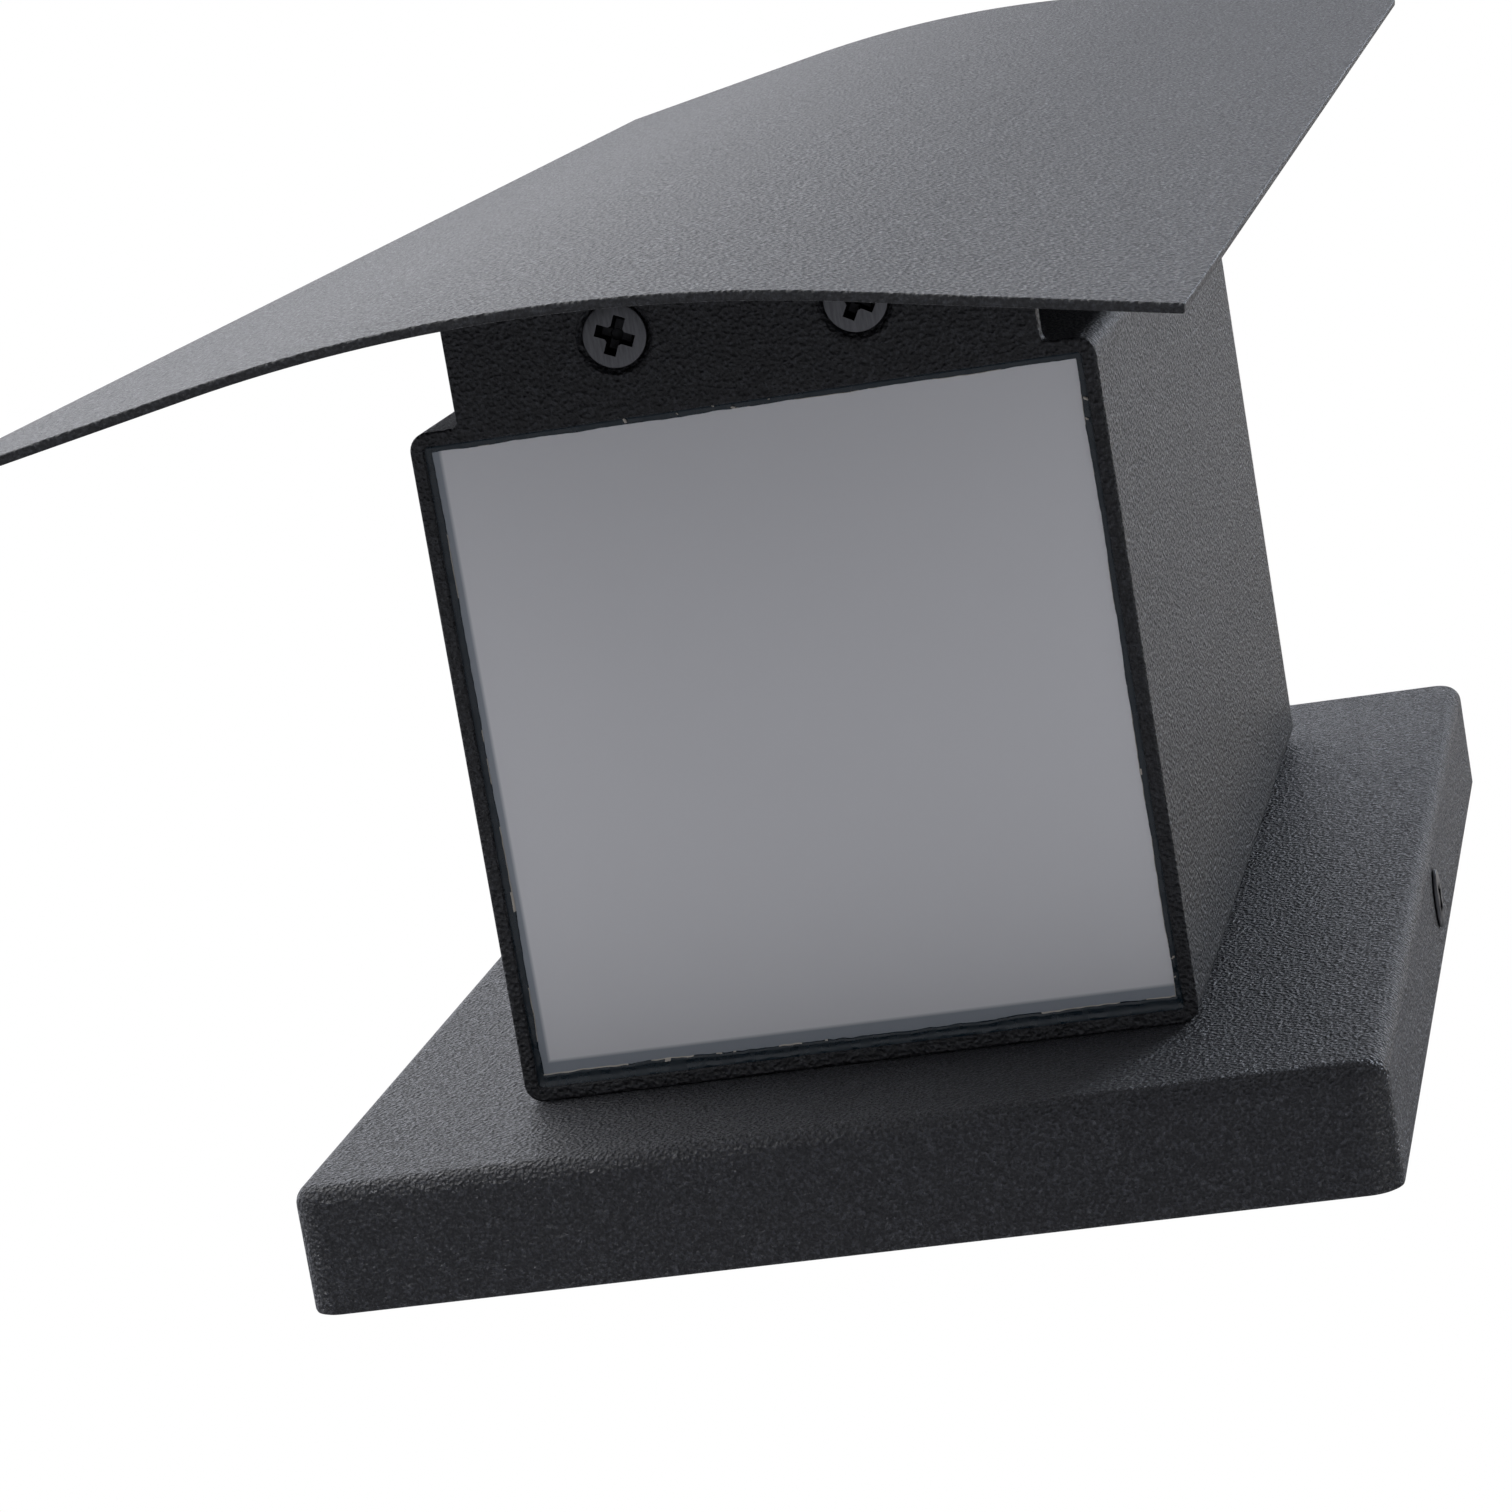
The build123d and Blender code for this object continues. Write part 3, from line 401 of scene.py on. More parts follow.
@dataclass(frozen=True)
class PowderCoat(Finish):
    """Fine-textured polyester powder coat: a leathery grain that glitters at a low angle."""

    grain: float = 0.38  # mm from bump to bump, coarser than real so that it shows
    relief: float = 0.3  # mm from the grain's bottom to its top, deeper than real to show too
    pebble: float = 1.4  # how much larger the pebbles under the grain are
    sparkle: float = 0.14  # how much the gloss differs from grain to grain
    fleck: str = "#3a3b3f"
    specular: float = 0.4

    def constants(self) -> Settings:
        """Adds how much the binder shines."""
        return {**super().constants(), "Specular IOR Level": self.specular}

    def dress(self, tree: Tree, place: Socket) -> Links:
        """Adds the grain as relief, and a slight unevenness of colour and gloss.

        Args:
            tree: The material's nodes.
            place: The piece's own coordinates.

        Returns:
            The colour, gloss and relief.
        """
        grain = {"Scale": per_metre(self.grain), "Detail": 3.0, "Roughness": 0.55}
        fine = add_node(tree, "ShaderNodeTexNoise", grain, {"Vector": place}).outputs["Fac"]
        size = per_metre(self.grain * self.pebble)
        pebbles = {"feature": "SMOOTH_F1", "Scale": size, "Smoothness": 0.6}
        coarse = add_node(tree, "ShaderNodeTexVoronoi", pebbles, {"Vector": place})
        levels = {0: fine, 1: coarse.outputs["Distance"]}
        height = add_node(tree, "ShaderNodeMath", {"operation": "ADD"}, levels).outputs[0]
        depth = {"Strength": 1.0, "Distance": self.relief * MM}
        relief = add_node(tree, "ShaderNodeBump", depth, {"Height": height})
        speck = add_node(tree, "ShaderNodeMapRange", spread((0.5, 0.66)), {"Value": fine})
        shine = self.gloss((0.36, 0.64), (self.sparkle, -self.sparkle))
        gloss = add_node(tree, "ShaderNodeMapRange", shine, {"Value": fine})
        colours = two_tones(self.colour, self.fleck)
        tone = add_node(tree, "ShaderNodeMix", colours, {0: speck.outputs["Result"]})
        return {
            "Base Color": tone.outputs[2],
            "Roughness": gloss.outputs["Result"],
            "Normal": relief.outputs["Normal"],
        }


@dataclass(frozen=True)
class OpalSheet(Finish):
    """Opal acrylic with a satin face: milky, with a painted glow in its middle and a painted shade
    band on the two sides over the ledge.
    """

    middle_depth: float = 55.0  # mm out of the wall
    ledge: tuple[float, float] = (36.4, 35.15)  # mm from the middle to the ledge, to -X and to +Y, where the painted shade band starts
    painted_shade_blur: float = 0.45
    glow_size: float = 36.0
    satin: float = 0.35  # mm from bump to bump
    # The colour of the painted shade band over the ledge, and of the painted glow in the middle.
    painted_ledge_shade_colour: str = "#83888e"
    painted_glow_colour: str = "#d8d6d5"

    def constants(self) -> Settings:
        """Adds a little light that goes in and comes out beside where it went in."""
        scatter = {"Subsurface Weight": 0.25, "Subsurface Scale": 1.2 * MM}
        return {**super().constants(), **scatter, "Subsurface Radius": (1.0, 1.0, 1.0)}

    def dress(self, tree: Tree, place: Socket) -> Links:
        """Paints a darker shade band on the two sides over the ledge, paints a glow that brightens
        the middle, and adds the satin grain.

        Args:
            tree: The material's nodes.
            place: The piece's own coordinates.

        Returns:
            The colour and relief.
        """
        centring = {"operation": "SUBTRACT", 1: (0.0, -self.middle_depth * MM, 0.0)}
        local = add_node(tree, "ShaderNodeVectorMath", centring, {0: place}).outputs[0]
        reach = add_node(tree, "ShaderNodeVectorMath", {"operation": "LENGTH"}, {0: local})
        # Painted glow: the colour brightens towards the middle of the sheet.
        fade = spread((0.0, self.glow_size * MM), (1.0, 0.0))
        glow = add_node(tree, "ShaderNodeMapRange", fade, {"Value": reach.outputs["Value"]})
        colours = two_tones(self.colour, self.painted_glow_colour)
        sheet = add_node(tree, "ShaderNodeMix", colours, {0: glow.outputs["Result"]})
        parts = add_node(tree, "ShaderNodeSeparateXYZ", links={0: local})
        # Painted shade: a darker band on the -X and +Y sides over the ledge.
        painted_shade_bands = []
        for axis, side, start in (("X", -1, self.ledge[0]), ("Y", 1, self.ledge[1])):
            edge = spread((side * start * MM, side * (start + self.painted_shade_blur) * MM))
            band = add_node(tree, "ShaderNodeMapRange", edge, {"Value": parts.outputs[axis]})
            painted_shade_bands.append(band.outputs["Result"])
        rim = add_node(tree, "ShaderNodeMath", {"operation": "MAXIMUM"}, dict(enumerate(painted_shade_bands)))
        shadow = {"data_type": "RGBA", 7: linear(self.painted_ledge_shade_colour)}
        tone = add_node(tree, "ShaderNodeMix", shadow, {0: rim.outputs[0], 6: sheet.outputs[2]})
        grain = {"Scale": per_metre(self.satin), "Detail": 2.0}
        fine = add_node(tree, "ShaderNodeTexNoise", grain, {"Vector": place}).outputs["Fac"]
        depth = {"Strength": 0.5, "Distance": 0.004 * MM}
        relief = add_node(tree, "ShaderNodeBump", depth, {"Height": fine})
        return {"Base Color": tone.outputs[2], "Normal": relief.outputs["Normal"]}


@dataclass(frozen=True)
class CuredSilicone(Finish):
    """Silicone laid by hand: a wet shine that breaks up in smears and tiny pits."""

    smear: float = 2.2  # mm between smears
    skin: float = 0.5  # mm between the skin's wrinkles

    def dress(self, tree: Tree, place: Socket) -> Links:
        """Adds smears in the gloss and a fine skin.

        Args:
            tree: The material's nodes.
            place: The piece's own coordinates.

        Returns:
            The gloss and relief.
        """
        smears = {"Scale": per_metre(self.smear), "Detail": 5.0, "Distortion": 0.8}
        streak = add_node(tree, "ShaderNodeTexNoise", smears, {"Vector": place}).outputs["Fac"]
        wrinkles = {"Scale": per_metre(self.skin), "Detail": 3.0}
        skin = add_node(tree, "ShaderNodeTexNoise", wrinkles, {"Vector": place}).outputs["Fac"]
        shine = self.gloss((0.35, 0.68), (-0.1, 0.3))
        gloss = add_node(tree, "ShaderNodeMapRange", shine, {"Value": streak})
        depth = {"Strength": 0.8, "Distance": 0.03 * MM}
        relief = add_node(tree, "ShaderNodeBump", depth, {"Height": skin})
        return {"Roughness": gloss.outputs["Result"], "Normal": relief.outputs["Normal"]}


@dataclass(frozen=True)
class Plated(Finish):
    """Bare, plated or blackened metal: fine drawn streaks and a gloss that varies in spots."""

    streak: float = 0.35  # mm between streaks
    stretch: float = 0.12  # a streak's width over its length
    second: str = "#9a9da0"

    def dress(self, tree: Tree, place: Socket) -> Links:
        """Adds streaks in the colour and the gloss, and a slight relief.

        Args:
            tree: The material's nodes.
            place: The piece's own coordinates.

        Returns:
            The colour, gloss and relief.
        """
        pull = {"Scale": (1.0, self.stretch, 1.0), "Rotation": (0, 0, 0.5)}
        drawn = add_node(tree, "ShaderNodeMapping", pull, {"Vector": place}).outputs["Vector"]
        streaks = {"Scale": per_metre(self.streak), "Detail": 4.0, "Roughness": 0.6}
        streak = add_node(tree, "ShaderNodeTexNoise", streaks, {"Vector": drawn}).outputs["Fac"]
        share = add_node(tree, "ShaderNodeMapRange", spread((0.35, 0.65)), {"Value": streak})
        shine = self.gloss((0.3, 0.7), (-0.08, 0.1))
        gloss = add_node(tree, "ShaderNodeMapRange", shine, {"Value": streak})
        depth = {"Strength": 0.5, "Distance": 0.012 * MM}
        relief = add_node(tree, "ShaderNodeBump", depth, {"Height": streak})
        colours = two_tones(self.colour, self.second)
        tone = add_node(tree, "ShaderNodeMix", colours, {0: share.outputs["Result"]})
        return {
            "Base Color": tone.outputs[2],
            "Roughness": gloss.outputs["Result"],
            "Normal": relief.outputs["Normal"],
        }


@dataclass(frozen=True)
class Galvanised(Finish):
    """Hot-dip galvanised sheet: frosty zinc crystals, each with a shade and gloss of its own."""

    crystal: float = 7.0  # mm across a crystal
    frost: float = 0.8  # mm between frost marks
    ragged: float = 2.0  # mm that the frost bends the crystals' edges
    second: str = "#9fa6ab"

    def dress(self, tree: Tree, place: Socket) -> Links:
        """Adds the crystals and a fine frost.

        Args:
            tree: The material's nodes.
            place: The piece's own coordinates.

        Returns:
            The colour, gloss and relief.
        """
        marks = {"Scale": per_metre(self.frost), "Detail": 5.0}
        frost = add_node(tree, "ShaderNodeTexNoise", marks, {"Vector": place})
        bend = {"operation": "MULTIPLY_ADD", 1: (self.ragged * MM,) * 3}
        bent = add_node(tree, "ShaderNodeVectorMath", bend, {0: frost.outputs["Color"], 2: place})
        cells = {"Scale": per_metre(self.crystal)}
        crystals = add_node(tree, "ShaderNodeTexVoronoi", cells, {"Vector": bent.outputs[0]})
        parts = add_node(tree, "ShaderNodeSeparateXYZ", links={0: crystals.outputs["Color"]})
        shine = self.gloss((0.0, 1.0), (-0.1, 0.14))
        gloss = add_node(tree, "ShaderNodeMapRange", shine, {"Value": parts.outputs["X"]})
        depth = {"Strength": 0.4, "Distance": 0.02 * MM}
        relief = add_node(tree, "ShaderNodeBump", depth, {"Height": frost.outputs["Fac"]})
        colours = two_tones(self.colour, self.second)
        tone = add_node(tree, "ShaderNodeMix", colours, {0: parts.outputs["X"]})
        return {
            "Base Color": tone.outputs[2],
            "Roughness": gloss.outputs["Result"],
            "Normal": relief.outputs["Normal"],
        }


@dataclass(frozen=True)
class Moulded(Finish):
    """A moulded or extruded polymer: cloudy patches and a fine spark-eroded grain."""

    second: str = "#ffffff"
    grain: float = 0.6  # mm
    relief: float = 0.015  # mm
    patch: float = 9.0  # mm

    def dress(self, tree: Tree, place: Socket) -> Links:
        """Adds the patches in colour and gloss, and the grain as relief.

        Args:
            tree: The material's nodes.
            place: The piece's own coordinates.

        Returns:
            The colour, gloss and relief.
        """
        patches = {"Scale": per_metre(self.patch), "Detail": 4.0}
        cloud = add_node(tree, "ShaderNodeTexNoise", patches, {"Vector": place}).outputs["Fac"]
        grain = {"Scale": per_metre(self.grain), "Detail": 2.0}
        fine = add_node(tree, "ShaderNodeTexNoise", grain, {"Vector": place}).outputs["Fac"]
        share = add_node(tree, "ShaderNodeMapRange", spread((0.3, 0.7)), {"Value": cloud})
        shine = self.gloss((0.3, 0.7), (-0.05, 0.07))
        gloss = add_node(tree, "ShaderNodeMapRange", shine, {"Value": cloud})
        depth = {"Strength": 0.7, "Distance": self.relief * MM}
        relief = add_node(tree, "ShaderNodeBump", depth, {"Height": fine})
        colours = two_tones(self.colour, self.second)
        tone = add_node(tree, "ShaderNodeMix", colours, {0: share.outputs["Result"]})
        return {
            "Base Color": tone.outputs[2],
            "Roughness": gloss.outputs["Result"],
            "Normal": relief.outputs["Normal"],
        }


@dataclass(frozen=True)
class TwoColourSleeve(Finish):
    """Extruded wire insulation in green with a yellow stripe that runs along the wire."""

    stripe: str = "#e8c81e"
    middle_depth: float = 8.3  # mm out of the wall, where the stripe's edge lies
    edge_blur: float = 0.05  # mm
    grain: float = 0.7  # mm

    def dress(self, tree: Tree, place: Socket) -> Links:
        """Splits the two colours along the wire, by how far out of the wall a point lies.

        Args:
            tree: The material's nodes.
            place: The piece's own coordinates.

        Returns:
            The colour and relief.
        """
        parts = add_node(tree, "ShaderNodeSeparateXYZ", links={0: place})
        edge, blur = -self.middle_depth * MM, self.edge_blur * MM
        line = spread((edge - blur, edge + blur))
        share = add_node(tree, "ShaderNodeMapRange", line, {"Value": parts.outputs["Y"]})
        grain = {"Scale": per_metre(self.grain), "Detail": 2.0}
        fine = add_node(tree, "ShaderNodeTexNoise", grain, {"Vector": place}).outputs["Fac"]
        depth = {"Strength": 0.4, "Distance": 0.01 * MM}
        relief = add_node(tree, "ShaderNodeBump", depth, {"Height": fine})
        colours = two_tones(self.colour, self.stripe)
        tone = add_node(tree, "ShaderNodeMix", colours, {0: share.outputs["Result"]})
        return {"Base Color": tone.outputs[2], "Normal": relief.outputs["Normal"]}


# Powder coat on sheet and smooth castings: nearly black, with a fine leathery grain.
COAT = PowderCoat("anthracite_powder_coat", "#131315", roughness=0.46, fleck="#26272b")
# The same coat, thrown coarser on the cover: a little paler, and it glitters at a low angle.
COVER_COAT = PowderCoat(
    "coarse_anthracite_powder_coat",
    "#1d1d20",
    roughness=0.44,
    fleck="#3e3f44",
    grain=0.36,
    relief=0.6,
    sparkle=0.22,
    specular=0.46,
)
# Cast acrylic with a satin face: a milky grey while the light is off, with a painted glow in its
# middle and painted shade on two sides.
OPAL = OpalSheet("satin_opal_acrylic", "#cbcacb", roughness=0.42, ior=1.49)
# Acetoxy silicone that has set: black with a wet shine; its teal tint is a painted reflection.
SILICONE = CuredSilicone("cured_black_silicone", "#0c1a22", roughness=0.2, ior=1.43)
# Where it was wiped thin over the sheet it dries pale and dull.
SILICONE_SKIN = CuredSilicone("dried_silicone_skin", "#a39c92", roughness=0.55, ior=1.43)
# Steel under black oxide: dark grey, with a soft sheen on the head.
BLACK_STEEL = Plated(
    "blackened_screw_steel", "#4b4b4d", roughness=0.44, metallic=1.0, second="#5e5e60"
)
# The recess is painted darker as shade, so it looks nearly empty.
RECESS_SHADE_STEEL = Plated(
    "painted_shade_in_recess", "#1c1c1d", roughness=0.5, metallic=1.0, second="#29292a"
)
# Bright zinc over steel: silvery, with faint streaks.
ZINC = Plated("zinc_plated_steel", "#b9bcbf", roughness=0.34, metallic=1.0)
# Zinc from a hot bath: large pale crystals side by side.
GALVANISED = Galvanised("galvanised_sheet_steel", "#b4babe", roughness=0.42, metallic=1.0)
# Moulded rubber: black and dull, with a faint bloom.
RUBBER = Moulded("moulded_black_rubber", "#1b1b1c", roughness=0.62, ior=1.52, second="#242425")
# Foamed rubber cut to strips: grey and quite matt, with open-looking pores.
FOAM = Moulded(
    "closed_cell_grey_foam",
    "#4a4b4d",
    roughness=0.85,
    ior=1.4,
    second="#5b5c5e",
    grain=0.9,
    relief=0.12,
    patch=4.0,
)
# Natural nylon from a mould: off-white, a little waxy.
NYLON = Moulded("moulded_white_nylon", "#dedbd1", roughness=0.42, ior=1.53, second="#e9e6de")
# Drawn brass rod: warm yellow with fine lines along it.
BRASS = Plated("drawn_brass", "#c6a15a", roughness=0.3, metallic=1.0, second="#a98546")
# Rolled aluminium plate: pale, with long rolling lines.
ALUMINIUM = Plated(
    "rolled_aluminium", "#c3c5c7", roughness=0.36, metallic=1.0, second="#aeb1b4", stretch=0.05
)
# White solder mask on a metal-core board: smooth and bright.
BOARD = Moulded("white_solder_mask", "#e3e5e2", roughness=0.3, second="#eceeea")
# Silicone gel with yellow phosphor, poured over the chip: glossy.
PHOSPHOR = Moulded("phosphor_gel", "#e6c25a", roughness=0.25, ior=1.41, second="#efd27e")
# White polycarbonate: matt, so that it scatters the light.
MIXER = Moulded(
    "moulded_white_polycarbonate", "#e4e4e1", roughness=0.5, ior=1.58, second="#eeeeec"
)
# The driver's polycarbonate case: off-white with a satin face.
DRIVER = Moulded("potted_driver_case", "#d6d6d1", roughness=0.48, ior=1.55, second="#e0e0dc")
# Extruded PVC insulation: slightly glossy, in the usual wire colours.
BROWN = Moulded("brown_wire_sleeve", "#5a3723", roughness=0.36, ior=1.54, second="#67422c")
BLUE = Moulded("blue_wire_sleeve", "#2360a8", roughness=0.36, ior=1.54, second="#2c6dba")
WHITE = Moulded("white_wire_sleeve", "#d9d9d7", roughness=0.38, ior=1.54, second="#e4e4e2")
EARTH = TwoColourSleeve("green_yellow_wire_sleeve", "#2f8a3c", roughness=0.36, ior=1.54)

FINISH_OF_SLOT: dict[str, Finish] = {
    "cover_coat": COVER_COAT,
    "housing_coat": COAT,
    "shade_coat": COAT,
    "opal_sheet": OPAL,
    "black_silicone": SILICONE,
    "black_screw_steel": BLACK_STEEL,
    "zinc_steel": ZINC,
    "galvanised_sheet": GALVANISED,
    "black_rubber": RUBBER,
    "grey_foam": FOAM,
    "white_nylon": NYLON,
    "clamp_brass": BRASS,
    "plate_aluminium": ALUMINIUM,
    "board_white": BOARD,
    "chip_phosphor": PHOSPHOR,
    "mixer_white": MIXER,
    "driver_case": DRIVER,
    "brown_sleeve": BROWN,
    "blue_sleeve": BLUE,
    "green_yellow_sleeve": EARTH,
    "white_sleeve": WHITE,
}
SLOT_OF_NODE: dict[str, str] = {
    part["node"]: part["material_slot"] for part in frame["record"]["subparts"]
}


# ---- mounting cover ------------------------------------------------------------------------------
@dataclass
class MountingCover:
    """The die-cast tray against the wall, in millimetres."""

    wall: float = 2.0
    corner: float = 3.8
    edge: float = 2.3
    rim_edge: float = 0.4
    screw_hole: float = 2.0
    housing_screws: tuple[float, float] = (30.0, 40.0)
    lead_hole: tuple[float, float] = (6.0, 46.0)  # its radius and its height
    side_mouth: float = 3.6
    side_flare: float = 0.25
    # the boss's x and z, its radius, and how far out of the wall it starts
    earth_boss: tuple[float, float, float, float] = (25.0, 53.0, 4.5, 11.0)

    def __post_init__(self) -> None:
        """Reads where the cover lies."""
        self.extent = Extent.of("mounting_cover")

    def tray(self) -> Mesh:
        """Makes the outer block with its rounded corners and front edges.

        Returns:
            A closed mesh.
        """
        made = block(self.extent.low, self.extent.high)
        rounded(made, edges_along(made, 1), self.corner, 10)
        rounded(made, edges_in_plane(made, 1, self.extent.low.y), self.edge, 8)
        return rounded(made, edges_in_plane(made, 1, self.extent.high.y), self.rim_edge, 2)

    def hollow(self) -> Mesh:
        """Makes the room inside the tray.

        Returns:
            A closed mesh that stands proud of the open back.
        """
        inset = Vector((self.wall, self.wall, self.wall))
        high = self.extent.high - inset
        made = block(self.extent.low + inset, Vector((high.x, self.wall, high.z)))
        rounded(made, edges_along(made, 1), self.corner - self.wall, 6)
        floor = self.extent.low.y + self.wall
        return rounded(made, edges_in_plane(made, 1, floor), self.edge - self.wall, 2)

    def hole(self, x: float, z: float, radius: float) -> Mesh:
        """Makes a pin that goes right through the tray's floor.

        Args:
            x: Where it stands across the cover.
            z: Where it stands up the cover.
            radius: The hole's radius.

        Returns:
            A closed mesh.
        """
        reach = self.extent.size.y
        pin = turned([(0, -reach), (radius, -reach), (radius, reach), (0, reach)], 32)
        place = Matrix.Translation((x, -reach, z))
        return moved(pin, place @ Matrix.Rotation(math.pi / 2, 4, "X"))

    def side_sink(self, side: int) -> Mesh:
        """Makes the countersunk hole of one side screw.

        Args:
            side: -1 for the left side and 1 for the right.

        Returns:
            A closed mesh with its mouth on the cover's side.
        """
        mouth, flare, bore = self.side_mouth, self.side_flare, self.screw_hole
        profile = [
            (0, 1),
            (mouth + flare, 1),
            (mouth + flare, 0),
            (mouth, -flare),
            (bore, -flare - mouth + bore),
            (bore, -2 * self.wall),
            (0, -2 * self.wall),
        ]
        place = Matrix.Translation((side * self.extent.high.x, self.extent.middle.y, 0))
        return moved(turned(profile, 48), place @ Matrix.Rotation(side * math.pi / 2, 4, "Y"))

    def boss(self) -> Mesh:
        """Makes the earth screw's boss on the inner floor.

        Returns:
            A closed mesh.
        """
        x, z, radius, depth = self.earth_boss
        floor = self.extent.size.y - self.wall / 2
        post = turned([(0, 0), (radius, 0), (radius, floor - depth), (0, floor - depth)], 32)
        place = Matrix.Translation((x, -floor, z))
        return moved(post, place @ Matrix.Rotation(-math.pi / 2, 4, "X"))

    def build(self) -> bpy.types.Object:
        """Casts the tray and drills its holes.

        Returns:
            The finished piece.
        """
        shell = combine(self.tray(), self.hollow(), Join.CUT)
        shell = combine(shell, self.boss(), Join.UNION)
        x, z = self.housing_screws
        for sx in (-1, 1):
            for sz in (-1, 1):
                shell = combine(shell, self.hole(sx * x, sz * z, self.screw_hole), Join.CUT)
            shell = combine(shell, self.side_sink(sx), Join.CUT)
        radius, height = self.lead_hole
        shell = combine(shell, self.hole(0, height, radius), Join.CUT)
        finish = COVER_COAT.material()
        return deliver("cover_casting", shell, finish, ["mounting_cover"])


# ---- housing -------------------------------------------------------------------------------------
@dataclass
class Housing:
    """The square die-cast tube, with a pocket and a lug at each end, in millimetres."""

    corner: float = 2.2
    rim_edge: float = 0.45
    rim_wall: float = 1.7
    wall: float = 3.5
    pocket_corner: float = 0.5
    mouth_flare: float = 0.2
    lug_width: float = 68.0
    lug_thick: float = 3.0
    lug_tip: float = 3.0
    lug_foot: float = 0.8
    lug_shoulder: float = 1.4  # how far the foot's straight part reaches past the lug
    lug_root: float = 1.0
    lug_edge: float = 0.35
    screw_x: float = 14.0
    screw_depth: float = 102.8
    sink_mouth: float = 4.35
    sink_flare: float = 0.15
    bore: float = 2.0

    def __post_init__(self) -> None:
        """Reads where the housing and its diffuser lie."""
        whole = Extent.of("housing")
        self.half = whole.size.x / 2
        self.back = whole.high.y
        self.front = self.back - whole.size.x
        self.tip = whole.low.y
        self.end = whole.high.z
        self.ledge = Extent.of("diffuser_upper").low.z
        self.middle = (self.front + self.back) / 2

    def tube(self) -> Mesh:
        """Makes the outer block with rounded corners and softened rims.

        Returns:
            A closed mesh.
        """
        low = Vector((-self.half, self.front, -self.end))
        made = block(low, Vector((self.half, self.back, self.end)))
        rounded(made, edges_along(made, 2), self.corner, 8)
        for side in (-1, 1):
            rounded(made, edges_in_plane(made, 2, side * self.end), self.rim_edge, 3)
        return made

    def lug(self, end: End) -> Mesh:
        """Makes the flat lug that stands out of the front wall at one end.

        Args:
            end: Which end of the housing.

        Returns:
            A closed plate whose foot runs into the wall.
        """
        half = self.lug_width / 2
        shoulder, front = half + self.lug_shoulder, self.front
        root = front + self.lug_root
        side = [(shoulder, root), (shoulder, front), (half, front), (half, self.tip)]
        outline = [(-x, y) for x, y in side] + [(x, y) for x, y in reversed(side)]
        made = bmesh.new()
        level = self.end - self.lug_thick
        made.faces.new([made.verts.new((x, y, level)) for x, y in outline])
        for depth, radius in ((self.tip, self.lug_tip), (front, self.lug_foot)):
            row = [v for v in made.verts if abs(v.co.y - depth) < MERGE]
            bmesh.ops.bevel(
                made,
                geom=[v for v in row if abs(abs(v.co.x) - half) < MERGE],
                offset=radius,
                segments=8,
                profile=0.5,
                affect="VERTICES",
                material=-1,
            )
        raised = bmesh.ops.extrude_face_region(made, geom=list(made.faces))["geom"]
        points = [v for v in raised if isinstance(v, bmesh.types.BMVert)]
        bmesh.ops.translate(made, vec=(0, 0, self.lug_thick), verts=points)
        bmesh.ops.recalc_face_normals(made, faces=made.faces)
        for height in (level, self.end):
            rounded(made, edges_in_plane(made, 2, height), self.lug_edge, 3)
        return moved(made, Matrix.Scale(end.value, 4, (0, 0, 1)))

    def pocket(self, end: End) -> Mesh:
        """Makes the room for the diffuser, with a flared mouth.

        Args:
            end: Which end of the housing.

        Returns:
            A closed mesh that stands proud of the end.
        """
        half = self.half - self.rim_wall
        made = block(
            Vector((-half, self.middle - half, self.ledge)),
            Vector((half, self.middle + half, self.end - self.mouth_flare)),
        )
        rounded(made, edges_along(made, 2), self.pocket_corner, 4)
        lid = max(made.faces, key=lambda face: face.calc_center_median().z)
        for rise, grow in ((self.mouth_flare, self.mouth_flare), (1.0, 0.0)):
            raised = bmesh.ops.extrude_face_region(made, geom=[lid])["geom"]
            bmesh.ops.delete(made, geom=[lid], context="FACES_ONLY")
            points = [v for v in raised if isinstance(v, bmesh.types.BMVert)]
            lid = next(f for f in raised if isinstance(f, bmesh.types.BMFace))
            factor = 1 + grow / half
            centring = Matrix.Translation((0, -self.middle, 0))
            bmesh.ops.scale(made, vec=(factor, factor, 1), space=centring, verts=points)
            bmesh.ops.translate(made, vec=(0, 0, rise), verts=points)
        return moved(made, Matrix.Scale(end.value, 4, (0, 0, 1)))

    def sink(self, x: float, end: End) -> Mesh:
        """Makes one countersunk hole of the lug.

        Args:
            x: Where it lies across the lug.
            end: Which end of the housing.

        Returns:
            A closed mesh with its mouth on the lug's outer face.
        """
        mouth, flare, bore = self.sink_mouth, self.sink_flare, self.bore
        profile = [
            (0, 1),
            (mouth + flare, 1),
            (mouth + flare, 0),
            (mouth, -flare),
            (bore, -flare - mouth + bore),
            (bore, -2 * self.lug_thick),
            (0, -2 * self.lug_thick),
        ]
        place = Matrix.Translation((x, -self.screw_depth, end.value * self.end))
        return moved(turned(profile, 64), place @ Matrix.Scale(end.value, 4, (0, 0, 1)))

    def build(self) -> bpy.types.Object:
        """Casts the tube, its lugs and pockets, and bores it through.

        Returns:
            The finished piece.
        """
        shell = self.tube()
        for end in End:
            shell = combine(shell, self.lug(end), Join.UNION)
            shell = combine(shell, self.pocket(end), Join.CUT)
            for x in (-self.screw_x, self.screw_x):
                shell = combine(shell, self.sink(x, end), Join.CUT)
        half = self.half - self.wall
        reach = self.ledge + 1
        low = Vector((-half, self.middle - half, -reach))
        through = block(low, Vector((half, self.middle + half, reach)))
        shell = combine(shell, through, Join.CUT)
        return deliver("housing_casting", shell, COAT.material(), ["housing"])


